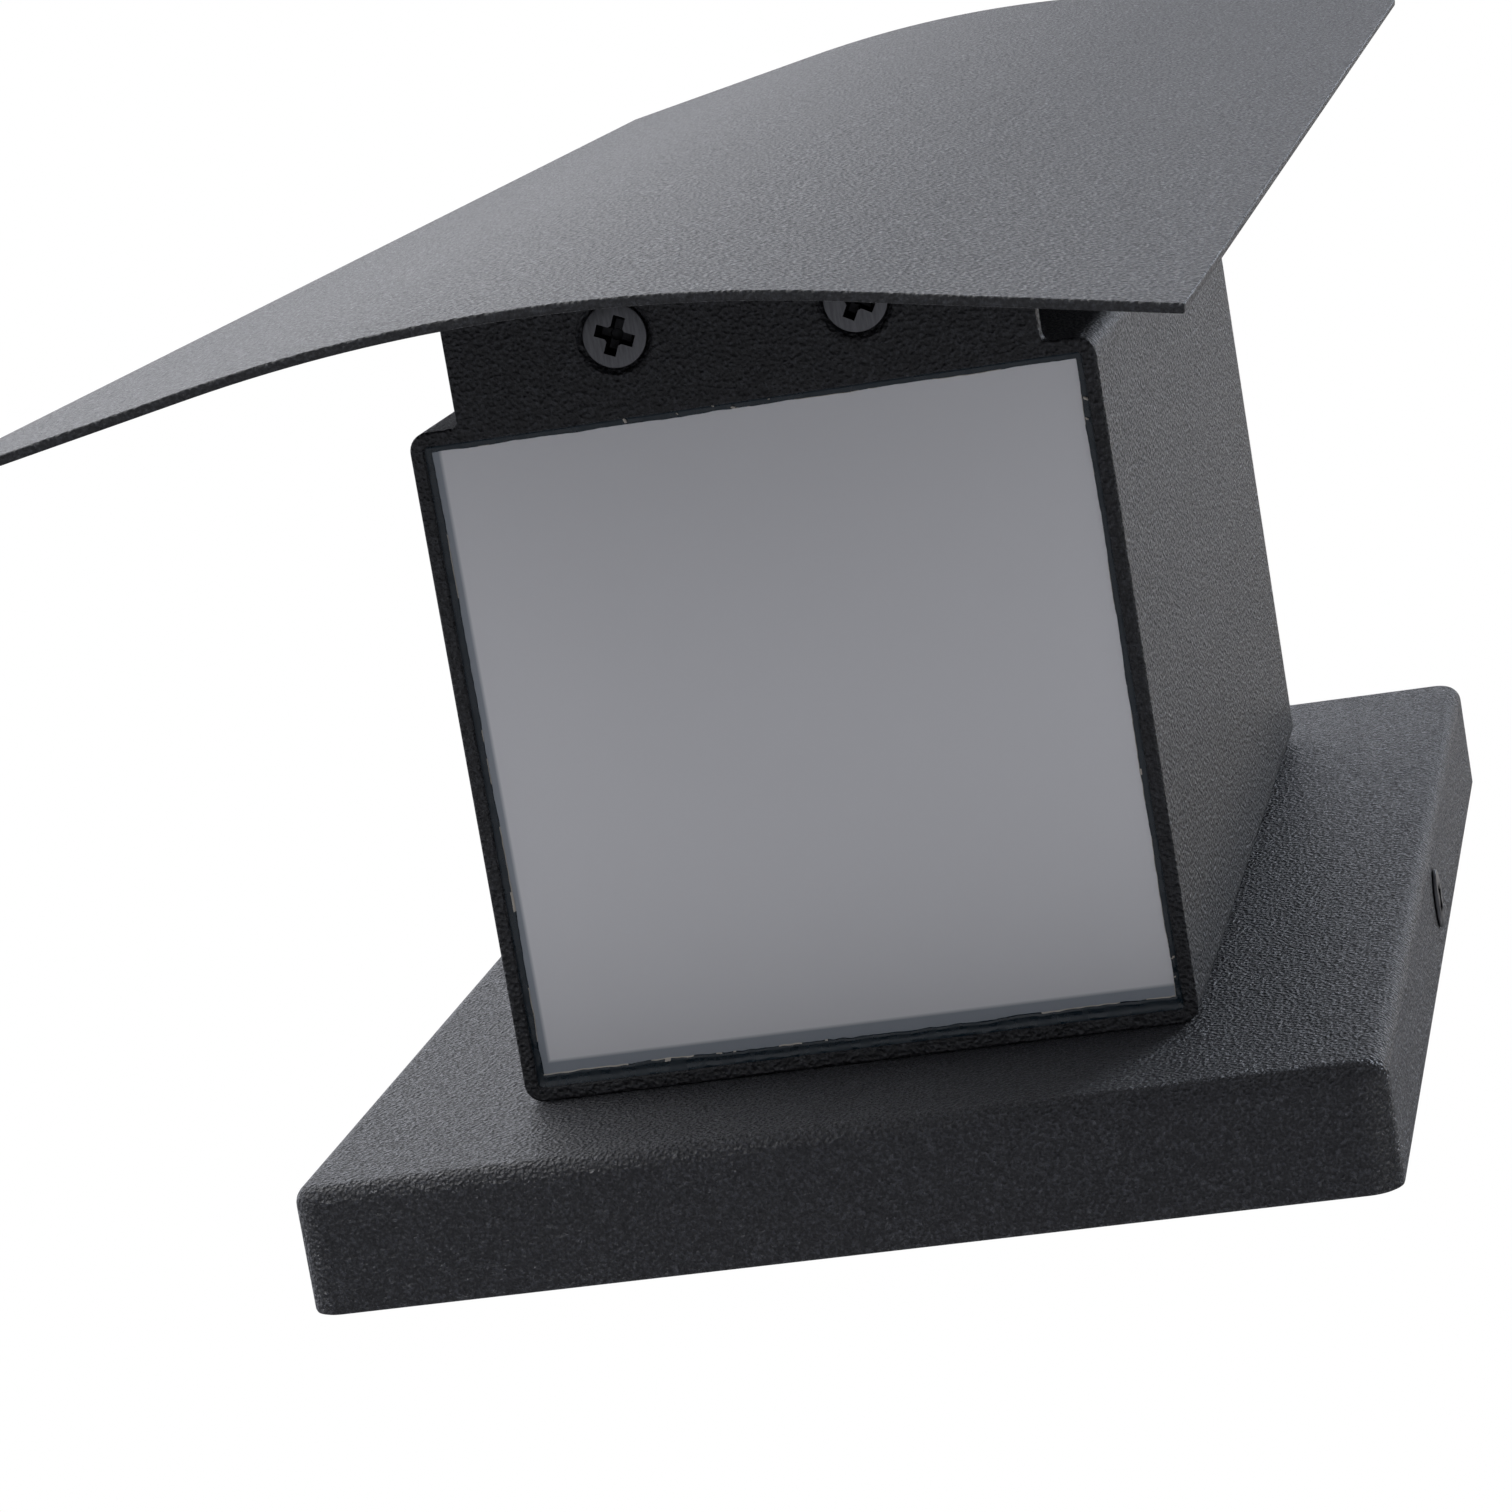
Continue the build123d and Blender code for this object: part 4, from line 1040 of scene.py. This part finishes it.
# ---- diffusers and their silicone ----------------------------------------------------------------
@dataclass
class Diffuser:
    """The opal sheet in one end of the housing."""

    end: End
    corner: float = 0.8
    edge: float = 0.2

    def build(self) -> bpy.types.Object:
        """Cuts the sheet and breaks its edges.

        Returns:
            The finished piece.
        """
        node = f"diffuser_{self.end.word}"
        extent = Extent.of(node)
        sheet = block(extent.low, extent.high)
        rounded(sheet, edges_along(sheet, 2), self.corner, 4)
        for level in (extent.low.z, extent.high.z):
            rounded(sheet, edges_in_plane(sheet, 2, level), self.edge, 2)
        return deliver(f"opal_sheet_{self.end.word}", sheet, OPAL.material(), [node])


@dataclass
class SiliconeBead:
    """The hand-laid silicone round one sheet: a sloped lip with lumps and a wandering edge."""

    end: End
    lap: float = 0.8  # mm over the sheet
    gap: float = 0.02  # mm between the bead and the sheet's side
    step: float = 0.35  # mm between the points along the bead
    # points of the lip, as mm in from the pocket's wall and mm above the sheet
    lip: tuple[tuple[float, float], ...] = (
        (0.0, 0.05),
        (0.0, 0.38),
        (0.14, 0.2),
        (0.34, 0.1),
        (0.56, 0.16),
    )
    skin: float = 0.07  # mm, the pale feathered edge on the sheet
    skin_rise: tuple[float, float] = (0.14, 0.02)  # mm above the sheet, from its start to its end
    wander: float = 0.16  # mm that the edge strays
    wander_fine: float = 0.45  # the share of it that is short waves
    lumps: float = 0.09  # mm
    dent: float = -0.05  # mm, the deepest dent
    wave: float = 0.16  # long waves per mm
    ripple: float = 0.9  # short waves per mm
    dry_wave: float = 0.22  # dry stretches per mm
    dry_over: float = -0.12  # the skin is dry where its noise is over this
    wide: float = 0.75  # mm more over the sheet on the side next to the wall
    wide_run: tuple[float, float] = (5.0, 4.0)  # mm from the wall where it starts, and its run
    seed: float = 3.7
    crumb_rise: float = 0.3  # mm above the sheet
    # where each crumb lies, as shares of half the bead's side, and its size in mm
    crumb_places: tuple[tuple[float, float, float], ...] = (
        (-0.38, -0.992, 0.22),
        (-0.05, -0.985, 0.16),
        (-0.11, -0.998, 0.1),
        (-0.22, -0.99, 0.09),
        (0.06, -0.994, 0.08),
        (0.992, -0.86, 0.2),
        (0.986, -0.8, 0.15),
        (0.99, 0.84, 0.14),
        (0.985, 0.9, 0.1),
    )

    def __post_init__(self) -> None:
        """Reads where the bead and its sheet lie, in the upper end's frame."""
        self.node = f"diffuser_seal_{self.end.word}"
        extent = Extent.of(self.node)
        self.sheet = Extent.of(f"diffuser_{self.end.word}")
        self.wall = extent.size.x / 2
        self.face = max(abs(self.sheet.low.z), abs(self.sheet.high.z))
        self.sheet_half = self.sheet.size.x / 2
        self.middle = Vector((0, extent.middle.y, 0))

    def across(self, point: Vector) -> float:
        """How far a point lies from the bead's middle, along its longer way."""
        return max(abs(point.x - self.middle.x), abs(point.y - self.middle.y))

    def section(self) -> list[tuple[float, float]]:
        """Sets out the points of the bead's cross-section, in order round it.

        Returns:
            Each point as half the side of its square loop, and its height.
        """
        base = self.face - self.sheet.size.z
        inner = self.sheet_half + self.gap
        points = [(self.wall - inset, self.face + rise) for inset, rise in self.lip]
        points += [
            (self.wall - self.lap + self.skin, self.face + self.skin_rise[0]),
            (self.wall - self.lap, self.face + self.skin_rise[1]),
        ]
        return [(self.wall, base), *points, (inner, self.face), (inner, base)]

    def loop(self, made: Mesh, half: float, height: float) -> list[bmesh.types.BMEdge]:
        """Adds one square loop of fine edges.

        Args:
            made: The mesh that it goes in.
            half: Half the loop's side.
            height: How far out of the end it lies.

        Returns:
            Its edges.
        """
        before = set(made.edges)
        bmesh.ops.create_grid(made, x_segments=1, y_segments=1, size=half)
        edges = [e for e in made.edges if e not in before]
        bmesh.ops.delete(made, geom=list(made.faces), context="FACES_ONLY")
        cuts = round(self.wall * 2 / self.step)
        bmesh.ops.subdivide_edges(made, edges=edges, cuts=cuts)
        edges = [e for e in made.edges if e not in before]
        points = {v for e in edges for v in e.verts}
        bmesh.ops.translate(made, vec=(0, self.middle.y, height), verts=list(points))
        return edges

    def roughen(self, made: Mesh) -> None:
        """Lets the bead's edge wander and its lip rise in lumps.

        Args:
            made: The smooth ring.
        """
        for vert in made.verts:
            side = self.across(vert.co)
            if vert.co.z < self.face + MERGE or side > self.wall - MERGE:
                continue
            long_wave = vert.co * self.wave + Vector((self.seed, self.seed * 2, 0))
            ripple = vert.co * self.ripple + Vector((0, self.seed, 0))
            share = (self.wall - side) / self.lap
            stray = noise.noise(long_wave) + noise.noise(ripple) * self.wander_fine
            if self.sheet_half + 0.1 > side:
                reach = vert.co - self.middle
                outward = Vector((reach.x, reach.y, 0)) / side
                vert.co -= outward * stray * self.wander * share
            lump = max(self.dent, noise.noise(ripple * 0.7) * self.lumps)
            vert.co.z += lump * math.sin(math.pi * min(share, 1))

    def dry_out(self, made: Mesh) -> None:
        """Gives the second material to the stretches of feathered edge that have dried pale.

        Args:
            made: The ring.
        """
        feather = self.wall - self.lap + self.skin
        for face in made.faces:
            reach = face.calc_center_median() - self.middle
            dry = noise.noise(reach * self.dry_wave + Vector((0, self.seed, 0))) > self.dry_over
            on_sheet = max(abs(reach.x), abs(reach.y)) < feather and reach.z > self.face + 0.01
            if dry and on_sheet:
                face.material_index = 1

    def widen(self, made: Mesh) -> None:
        """Spreads the bead further over the sheet on the side next to the wall.

        Args:
            made: The ring.
        """
        start, run = self.wide_run
        for vert in made.verts:
            share = min(1.0, (self.wall - self.across(vert.co)) / self.lap)
            near = (vert.co.y - self.middle.y - self.wall + start) / run
            vert.co.y -= self.wide * share * min(1.0, max(0.0, near))

    def crumbs(self, made: Mesh) -> None:
        """Leaves a few torn crumbs of dry silicone along the bead.

        Args:
            made: The ring.
        """
        for x, y, size in self.crumb_places:
            crumb = bmesh.ops.create_icosphere(made, subdivisions=2, radius=size)["verts"]
            for vert in crumb:
                vert.co *= 1 + noise.noise(vert.co * 9 + Vector((x, y, 0))) * 0.7
            bmesh.ops.scale(made, vec=(1.6, 0.8, 0.45), verts=crumb)
            turn = Matrix.Rotation(x * y * 3, 3, "Z")
            bmesh.ops.rotate(made, cent=(0, 0, 0), matrix=turn, verts=crumb)
            place = (x * self.wall, self.middle.y + y * self.wall, self.face + self.crumb_rise)
            bmesh.ops.translate(made, vec=place, verts=crumb)
            for skin in {f for v in crumb for f in v.link_faces}:
                skin.material_index = 1

    def build(self) -> bpy.types.Object:
        """Bridges the loops to a closed ring, then makes it uneven.

        Returns:
            The finished piece.
        """
        made = bmesh.new()
        loops = [self.loop(made, half, height) for half, height in self.section()]
        for first, second in zip(loops, loops[1:] + loops[:1]):
            bmesh.ops.bridge_loops(made, edges=first + second)
        self.roughen(made)
        self.dry_out(made)
        self.widen(made)
        self.crumbs(made)
        moved(made, Matrix.Scale(self.end.value, 4, (0, 0, 1)))
        name = f"silicone_bead_{self.end.word}"
        piece = deliver(name, made, SILICONE.material(), [self.node], 60.0)
        piece.data.materials.append(SILICONE_SKIN.material())
        return piece


# ---- screws --------------------------------------------------------------------------------------
@dataclass(frozen=True)
class FlatScrew:
    """A countersunk screw with a cross recess: its face is on XY and its shank runs along -Z."""

    head: float = 3.75
    land: float = 0.4
    shank: float = 1.95
    recess_length: float = 4.9
    recess_width: float = 1.5
    recess_depth: float = 1.8
    recess_taper: float = 0.72  # how much narrower the recess is at its bottom
    core: float = 1.2  # the radius of the cup in the recess's middle
    core_taper: float = 0.55
    painted_shade_from: float = 0.14  # mm under the face, from where the recess is painted darker as shade

    def wing(self, turn: float) -> Mesh:
        """Makes one bar of the cross, narrower at its bottom.

        Args:
            turn: Its angle in degrees.

        Returns:
            A closed mesh.
        """
        reach, half = self.recess_length / 2, self.recess_width / 2
        bar = block(Vector((-reach, -half, -self.recess_depth)), Vector((reach, half, 0.5)))
        bottom = [v for v in bar.verts if v.co.z < 0]
        bmesh.ops.scale(bar, vec=(self.recess_taper, self.recess_taper, 1), verts=bottom)
        rounded(bar, edges_in_plane(bar, 2, -self.recess_depth), 0.12, 2)
        return moved(bar, Matrix.Rotation(math.radians(turn), 4, "Z"))

    def build(self, length: float) -> Mesh:
        """Turns the screw and presses its recess.

        Args:
            length: From the face to the shank's end.

        Returns:
            A closed mesh.
        """
        cone = self.head - self.shank
        profile = [
            (0, 0),
            (self.head * 0.5, 0),
            (self.head - 0.22, -0.015),
            (self.head - 0.09, -0.06),
            (self.head - 0.02, -0.15),
            (self.head, -0.26),
            (self.head, -self.land),
            (self.shank, -self.land - cone),
            (self.shank, -length + 0.3),
            (self.shank - 0.3, -length),
            (0, -length),
        ]
        made = turned(profile, 72)
        for turn in (0, 90):
            made = combine(made, self.wing(turn), Join.CUT)
        depth = self.recess_depth * 1.15
        bottom = [(self.core * self.core_taper, -depth), (0, -depth - 0.3)]
        cup = turned([(0, 0.5), (self.core, 0.5), (self.core, 0), *bottom], 24)
        made = combine(made, cup, Join.CUT)
        # The recess's cuts meet at very small angles and leave points nearly on top of each other.
        bmesh.ops.remove_doubles(made, verts=made.verts, dist=WELD)
        bmesh.ops.dissolve_degenerate(made, edges=made.edges, dist=WELD)
        # The recess faces take the second, darker finish: painted shade.
        for face in made.faces:
            middle = face.calc_center_median()
            if middle.z < -self.painted_shade_from and middle.xy.length < self.recess_length / 2:
                face.material_index = 1
        return made


@dataclass
class ScrewSet:
    """A node's like screws, as one piece."""

    name: str
    node: str
    length: float
    places: list[Matrix]

    def build(self) -> bpy.types.Object:
        """Copies the screw to its places.

        Returns:
            The finished piece.
        """
        made = bmesh.new()
        for place in self.places:
            screw = moved(FlatScrew().build(self.length), place)
            data = bpy.data.meshes.new("screw")
            screw.to_mesh(data)
            screw.free()
            made.from_mesh(data)
            bpy.data.meshes.remove(data)
        finish = BLACK_STEEL.material()
        piece = deliver(self.name, made, finish, [self.node], 30.0)
        # The second finish is the painted shade in the recess.
        piece.data.materials.append(RECESS_SHADE_STEEL.material())
        return piece


def lug_screws(end: End) -> ScrewSet:
    """Sets out the two screws in one lug, a little sunk, each with its cross at its own angle.

    Args:
        end: Which end of the housing.

    Returns:
        The set, not yet built.
    """
    housing = Housing()
    sunk, turns = 0.15, (-24.0, -29.0)
    places = []
    for x, turn in zip((-housing.screw_x, housing.screw_x), turns):
        level = end.value * (housing.end - sunk)
        flip = Matrix.Rotation(math.pi if end is End.LOWER else 0.0, 4, "X")
        spin = Matrix.Rotation(math.radians(turn), 4, "Z")
        places.append(Matrix.Translation((x, -housing.screw_depth, level)) @ flip @ spin)
    return ScrewSet(f"lug_screws_{end.word}", f"shade_screws_{end.word}", 8.0, places)


def side_screws() -> ScrewSet:
    """Sets out the two screws in the cover's sides, which stand a little proud.

    Returns:
        The set, not yet built.
    """
    extent = Extent.of("cover_screws")
    spin = Matrix.Rotation(math.radians(33), 4, "Z")
    places = [
        Matrix.Translation((side * extent.high.x, extent.middle.y, 0))
        @ Matrix.Rotation(side * math.pi / 2, 4, "Y")
        @ spin
        for side in (-1, 1)
    ]
    return ScrewSet("side_screws", "cover_screws", 9.0, places)


# ---- shade ---------------------------------------------------------------------------------------
@dataclass
class Shade:
    """The bent sheet in front of the housing: an arc in its middle, a straight wing each side."""

    thick: float = 1.0  # mm
    radius: float = 174.0  # mm
    wing_angle: float = 10.5  # degrees
    edge: float = 0.22  # mm
    columns: int = 64
    rows: int = 8

    def __post_init__(self) -> None:
        """Reads where the shade lies."""
        self.extent = Extent.of("shade")

    def depth(self, x: float) -> float:
        """Works out how far out of the wall the shade's face is.

        Args:
            x: The place across the shade.

        Returns:
            The distance in millimetres.
        """
        slope = math.radians(self.wing_angle)
        bend = self.radius * math.sin(slope)
        centre = -self.extent.low.y - self.radius
        if abs(x) <= bend:
            return centre + math.sqrt(self.radius**2 - x**2)
        return centre + self.radius * math.cos(slope) - (abs(x) - bend) * math.tan(slope)

    def build(self) -> bpy.types.Object:
        """Bends a flat grid, gives it its thickness and breaks its edges.

        Returns:
            The finished piece.
        """
        made = bmesh.new()
        bmesh.ops.create_grid(made, x_segments=self.columns, y_segments=self.rows, size=0.5)
        stand = Matrix.Rotation(math.pi / 2, 4, "X")
        bmesh.ops.transform(made, matrix=stand, verts=made.verts)
        bmesh.ops.scale(made, vec=(self.extent.size.x, 1, self.extent.size.z), verts=made.verts)
        for vert in made.verts:
            vert.co.y = -self.depth(vert.co.x)
        bmesh.ops.recalc_face_normals(made, faces=made.faces)
        if sum(face.normal.y for face in made.faces) > 0:
            bmesh.ops.reverse_faces(made, faces=made.faces)
        bmesh.ops.solidify(made, geom=list(made.faces), thickness=self.thick)
        bmesh.ops.recalc_face_normals(made, faces=made.faces)
        sharp = [e for e in made.edges if e.calc_face_angle(0.0) > math.radians(60)]
        rounded(made, sharp, self.edge, 3)
        return deliver("shade_sheet", made, COAT.material(), ["shade"])


# ---- softened copies of CAD nodes ----------------------------------------------------------------
@dataclass(frozen=True)
class Softened:
    """A CAD node shown as a merged copy with broken edges, as pressing or moulding leaves them."""

    node: str
    edge: float  # mm
    steps: int = 2
    flat_under: float = 0.3  # degrees between faces that are one flat
    sharp_over: float = 35.0  # degrees between faces whose edge is broken

    def build(self) -> bpy.types.Object:
        """Copies, merges and softens the node.

        Returns:
            The finished piece.
        """
        made = bmesh.new()
        made.from_mesh(frame["nodes"][self.node].data)
        bmesh.ops.transform(made, matrix=Matrix.Scale(1 / MM, 4), verts=made.verts)
        bmesh.ops.remove_doubles(made, verts=made.verts, dist=MERGE)
        bmesh.ops.dissolve_limit(
            made,
            angle_limit=math.radians(self.flat_under),
            use_dissolve_boundaries=False,
            verts=made.verts,
            edges=made.edges,
            delimit={"NORMAL"},
        )
        slot = SLOT_OF_NODE[self.node]
        finish = FINISH_OF_SLOT[slot].material()
        piece = deliver(f"{self.node}_finished", made, finish, [self.node])
        if self.edge:
            bevel = piece.modifiers.new("broken_edges", "BEVEL")
            bevel.width = self.edge * MM
            bevel.segments = self.steps
            bevel.limit_method = "ANGLE"
            bevel.angle_limit = math.radians(self.sharp_over)
            bevel.use_clamp_overlap = True
            piece.modifiers.move(len(piece.modifiers) - 1, 0)
            weld = piece.modifiers.new("merged_points", "WELD")
            weld.merge_threshold = WELD * MM
            piece.modifiers.move(len(piece.modifiers) - 1, 1)
        return piece


SOFTENED = (
    Softened("wall_bracket", 0.2),
    Softened("bracket_nuts", 0.2),
    Softened("supply_grommet", 0.4),
    Softened("rim_seal", 0.3),
    Softened("terminal_block", 0.25),
    Softened("terminal_clamps", 0.1),
    Softened("terminal_screws", 0.08),
    Softened("earth_ring", 0.12),
    Softened("earth_screw", 0.1),
    Softened("lead_grommet", 0.3),
    Softened("lead_live", 0.0),
    Softened("lead_neutral", 0.0),
    Softened("lead_earth", 0.0),
    Softened("housing_screws", 0.1),
    Softened("shade_bracket_upper", 0.2),
    Softened("shade_bracket_lower", 0.2),
    Softened("shade_nuts_upper", 0.15),
    Softened("shade_nuts_lower", 0.15),
)


def finish_cad_nodes() -> None:
    """Gives every CAD node that is still shown, and the hidden ones with it, its own finish."""
    for name, node in frame["nodes"].items():
        finish = FINISH_OF_SLOT[SLOT_OF_NODE[name]].material()
        node.data.materials.clear()
        node.data.materials.append(finish)
        LOG.info("%s: %s", name, finish.name)


# ---- stage ---------------------------------------------------------------------------------------
@dataclass(frozen=True)
class Studio:
    """A plain pale floor, a pale sky and soft lamps."""

    floor_level: float = -0.9
    floor_size: float = 80.0
    floor_colour: str = "#cececf"
    sky_colour: str = "#f2f5ff"
    sky_top: float = 1.05
    sky_side: float = 0.5
    behind: float = 0.4
    left_and_right: tuple[float, float] = (1.42, 0.28)
    # each softbox's name, place in metres, side in metres, power in watts and colour
    softboxes: tuple[tuple[str, Vector, float, float, str], ...] = (
        ("key_softbox", Vector((-0.65, -1.25, 1.3)), 0.8, 6.5, "#fffdfa"),
        ("edge_softbox", Vector((0.82, -0.52, 1.6)), 0.5, 7.5, "#e6f0ff"),
        ("side_softbox", Vector((0.75, 0.1, 1.8)), 0.6, 1.3, "#fff6ec"),
        ("low_softbox", Vector((-0.4, -1.6, -0.9)), 0.5, 3.5, "#e6f3ff"),
        ("front_softbox", Vector((-1.0, -1.7, 0.15)), 0.9, 24.0, "#ffffff"),
        ("right_softbox", Vector((1.6, -0.5, 0.25)), 0.9, 3.5, "#f6fbff"),
        ("back_softbox", Vector((0.9, 1.5, 0.2)), 0.9, 6.0, "#ffffff"),
    )

    def floor(self) -> None:
        """Lays the floor far below the light."""
        made = bmesh.new()
        bmesh.ops.create_grid(made, x_segments=1, y_segments=1, size=self.floor_size / 2)
        bmesh.ops.translate(made, vec=(0, 0, self.floor_level), verts=made.verts)
        data = bpy.data.meshes.new("studio_floor")
        made.to_mesh(data)
        made.free()
        # Matt paint rolled on board: pale, with wide faint patches.
        paint = Moulded(
            "rolled_floor_paint", self.floor_colour, roughness=0.8, second="#d1d1d2", patch=400.0
        )
        data.materials.append(paint.material())
        floor = bpy.data.objects.new("studio_floor", data)
        bpy.context.scene.collection.objects.link(floor)

    def sky(self) -> None:
        """Makes the sky bright overhead and softer low down and behind, and plain white to see."""
        world = bpy.data.worlds.new("pale_sky")
        world.use_nodes = True
        tree = world.node_tree
        tree.nodes.clear()
        way = add_node(tree, "ShaderNodeTexCoord").outputs["Generated"]
        parts = add_node(tree, "ShaderNodeSeparateXYZ", links={0: way})
        shares = []
        for axis, settings in (
            ("Z", spread((0.1, 0.75), (self.sky_side, self.sky_top))),
            ("Y", spread((-0.25, 0.35), (1.0, self.behind))),
            ("X", spread((-0.3, 0.3), self.left_and_right)),
        ):
            share = add_node(tree, "ShaderNodeMapRange", settings, {"Value": parts.outputs[axis]})
            shares.append(share.outputs["Result"])
        power = shares[0]
        for share in shares[1:]:
            both = {0: power, 1: share}
            power = add_node(tree, "ShaderNodeMath", {"operation": "MULTIPLY"}, both).outputs[0]
        colour = {"Color": linear(self.sky_colour)}
        glow = add_node(tree, "ShaderNodeBackground", colour, {"Strength": power})
        paper = add_node(tree, "ShaderNodeBackground", {"Color": linear("#ffffff")})
        seen = add_node(tree, "ShaderNodeLightPath").outputs["Is Camera Ray"]
        layers = {0: seen, 1: glow.outputs["Background"], 2: paper.outputs["Background"]}
        mixed = add_node(tree, "ShaderNodeMixShader", links=layers)
        add_node(tree, "ShaderNodeOutputWorld", links={"Surface": mixed.outputs["Shader"]})
        bpy.context.scene.world = world

    def lamp(self, name: str, place: Vector, side: float, power: float, colour: str) -> None:
        """Hangs one square softbox that faces the light.

        Args:
            name: The lamp's name.
            place: Where it hangs, in metres.
            side: The softbox's side in metres.
            power: Its power in watts.
            colour: The hex colour of its light.
        """
        data = bpy.data.lights.new(name, "AREA")
        data.energy = power
        data.size = side
        data.color = linear(colour)[:3]
        lamp = bpy.data.objects.new(name, data)
        lamp.location = place
        lamp.visible_camera = False
        lamp.rotation_mode = "QUATERNION"
        lamp.rotation_quaternion = (-place).to_track_quat("-Z", "Y")
        bpy.context.scene.collection.objects.link(lamp)

    def build(self) -> None:
        """Lays out the whole studio."""
        self.floor()
        self.sky()
        for softbox in self.softboxes:
            self.lamp(*softbox)
        bpy.context.scene.view_settings.view_transform = "Standard"


@dataclass(frozen=True)
class Camera:
    """A long lens that looks up at the lower end of the light."""

    place: tuple[float, float, float] = (113.628, -163.950, -679.021)
    turn: tuple[float, float, float] = (167.928, -9.4058, 9.6625)
    lens: float = 128.73
    sensor: float = 36.0

    def build(self) -> None:
        """Sets the camera up and makes it the scene's."""
        data = bpy.data.cameras.new("camera")
        data.lens = self.lens
        data.sensor_width = self.sensor
        data.clip_start = 0.01
        data.clip_end = 50.0
        camera = bpy.data.objects.new("camera", data)
        camera.location = Vector(self.place) * MM
        camera.rotation_euler = [math.radians(angle) for angle in self.turn]
        bpy.context.scene.collection.objects.link(camera)
        bpy.context.scene.camera = camera


def main() -> None:
    """Builds the studio, then every sub-assembly of the light."""
    logging.basicConfig(level=logging.INFO, format="%(message)s")
    Camera().build()
    Studio().build()
    finish_cad_nodes()
    makers: list[Callable[[], bpy.types.Object]] = [MountingCover().build, Housing().build]
    makers += [Shade().build, side_screws().build]
    for end in End:
        makers += [Diffuser(end).build, SiliconeBead(end).build, lug_screws(end).build]
    makers += [softened.build for softened in SOFTENED]
    for make in makers:
        make()


if __name__ == "__main__":
    main()
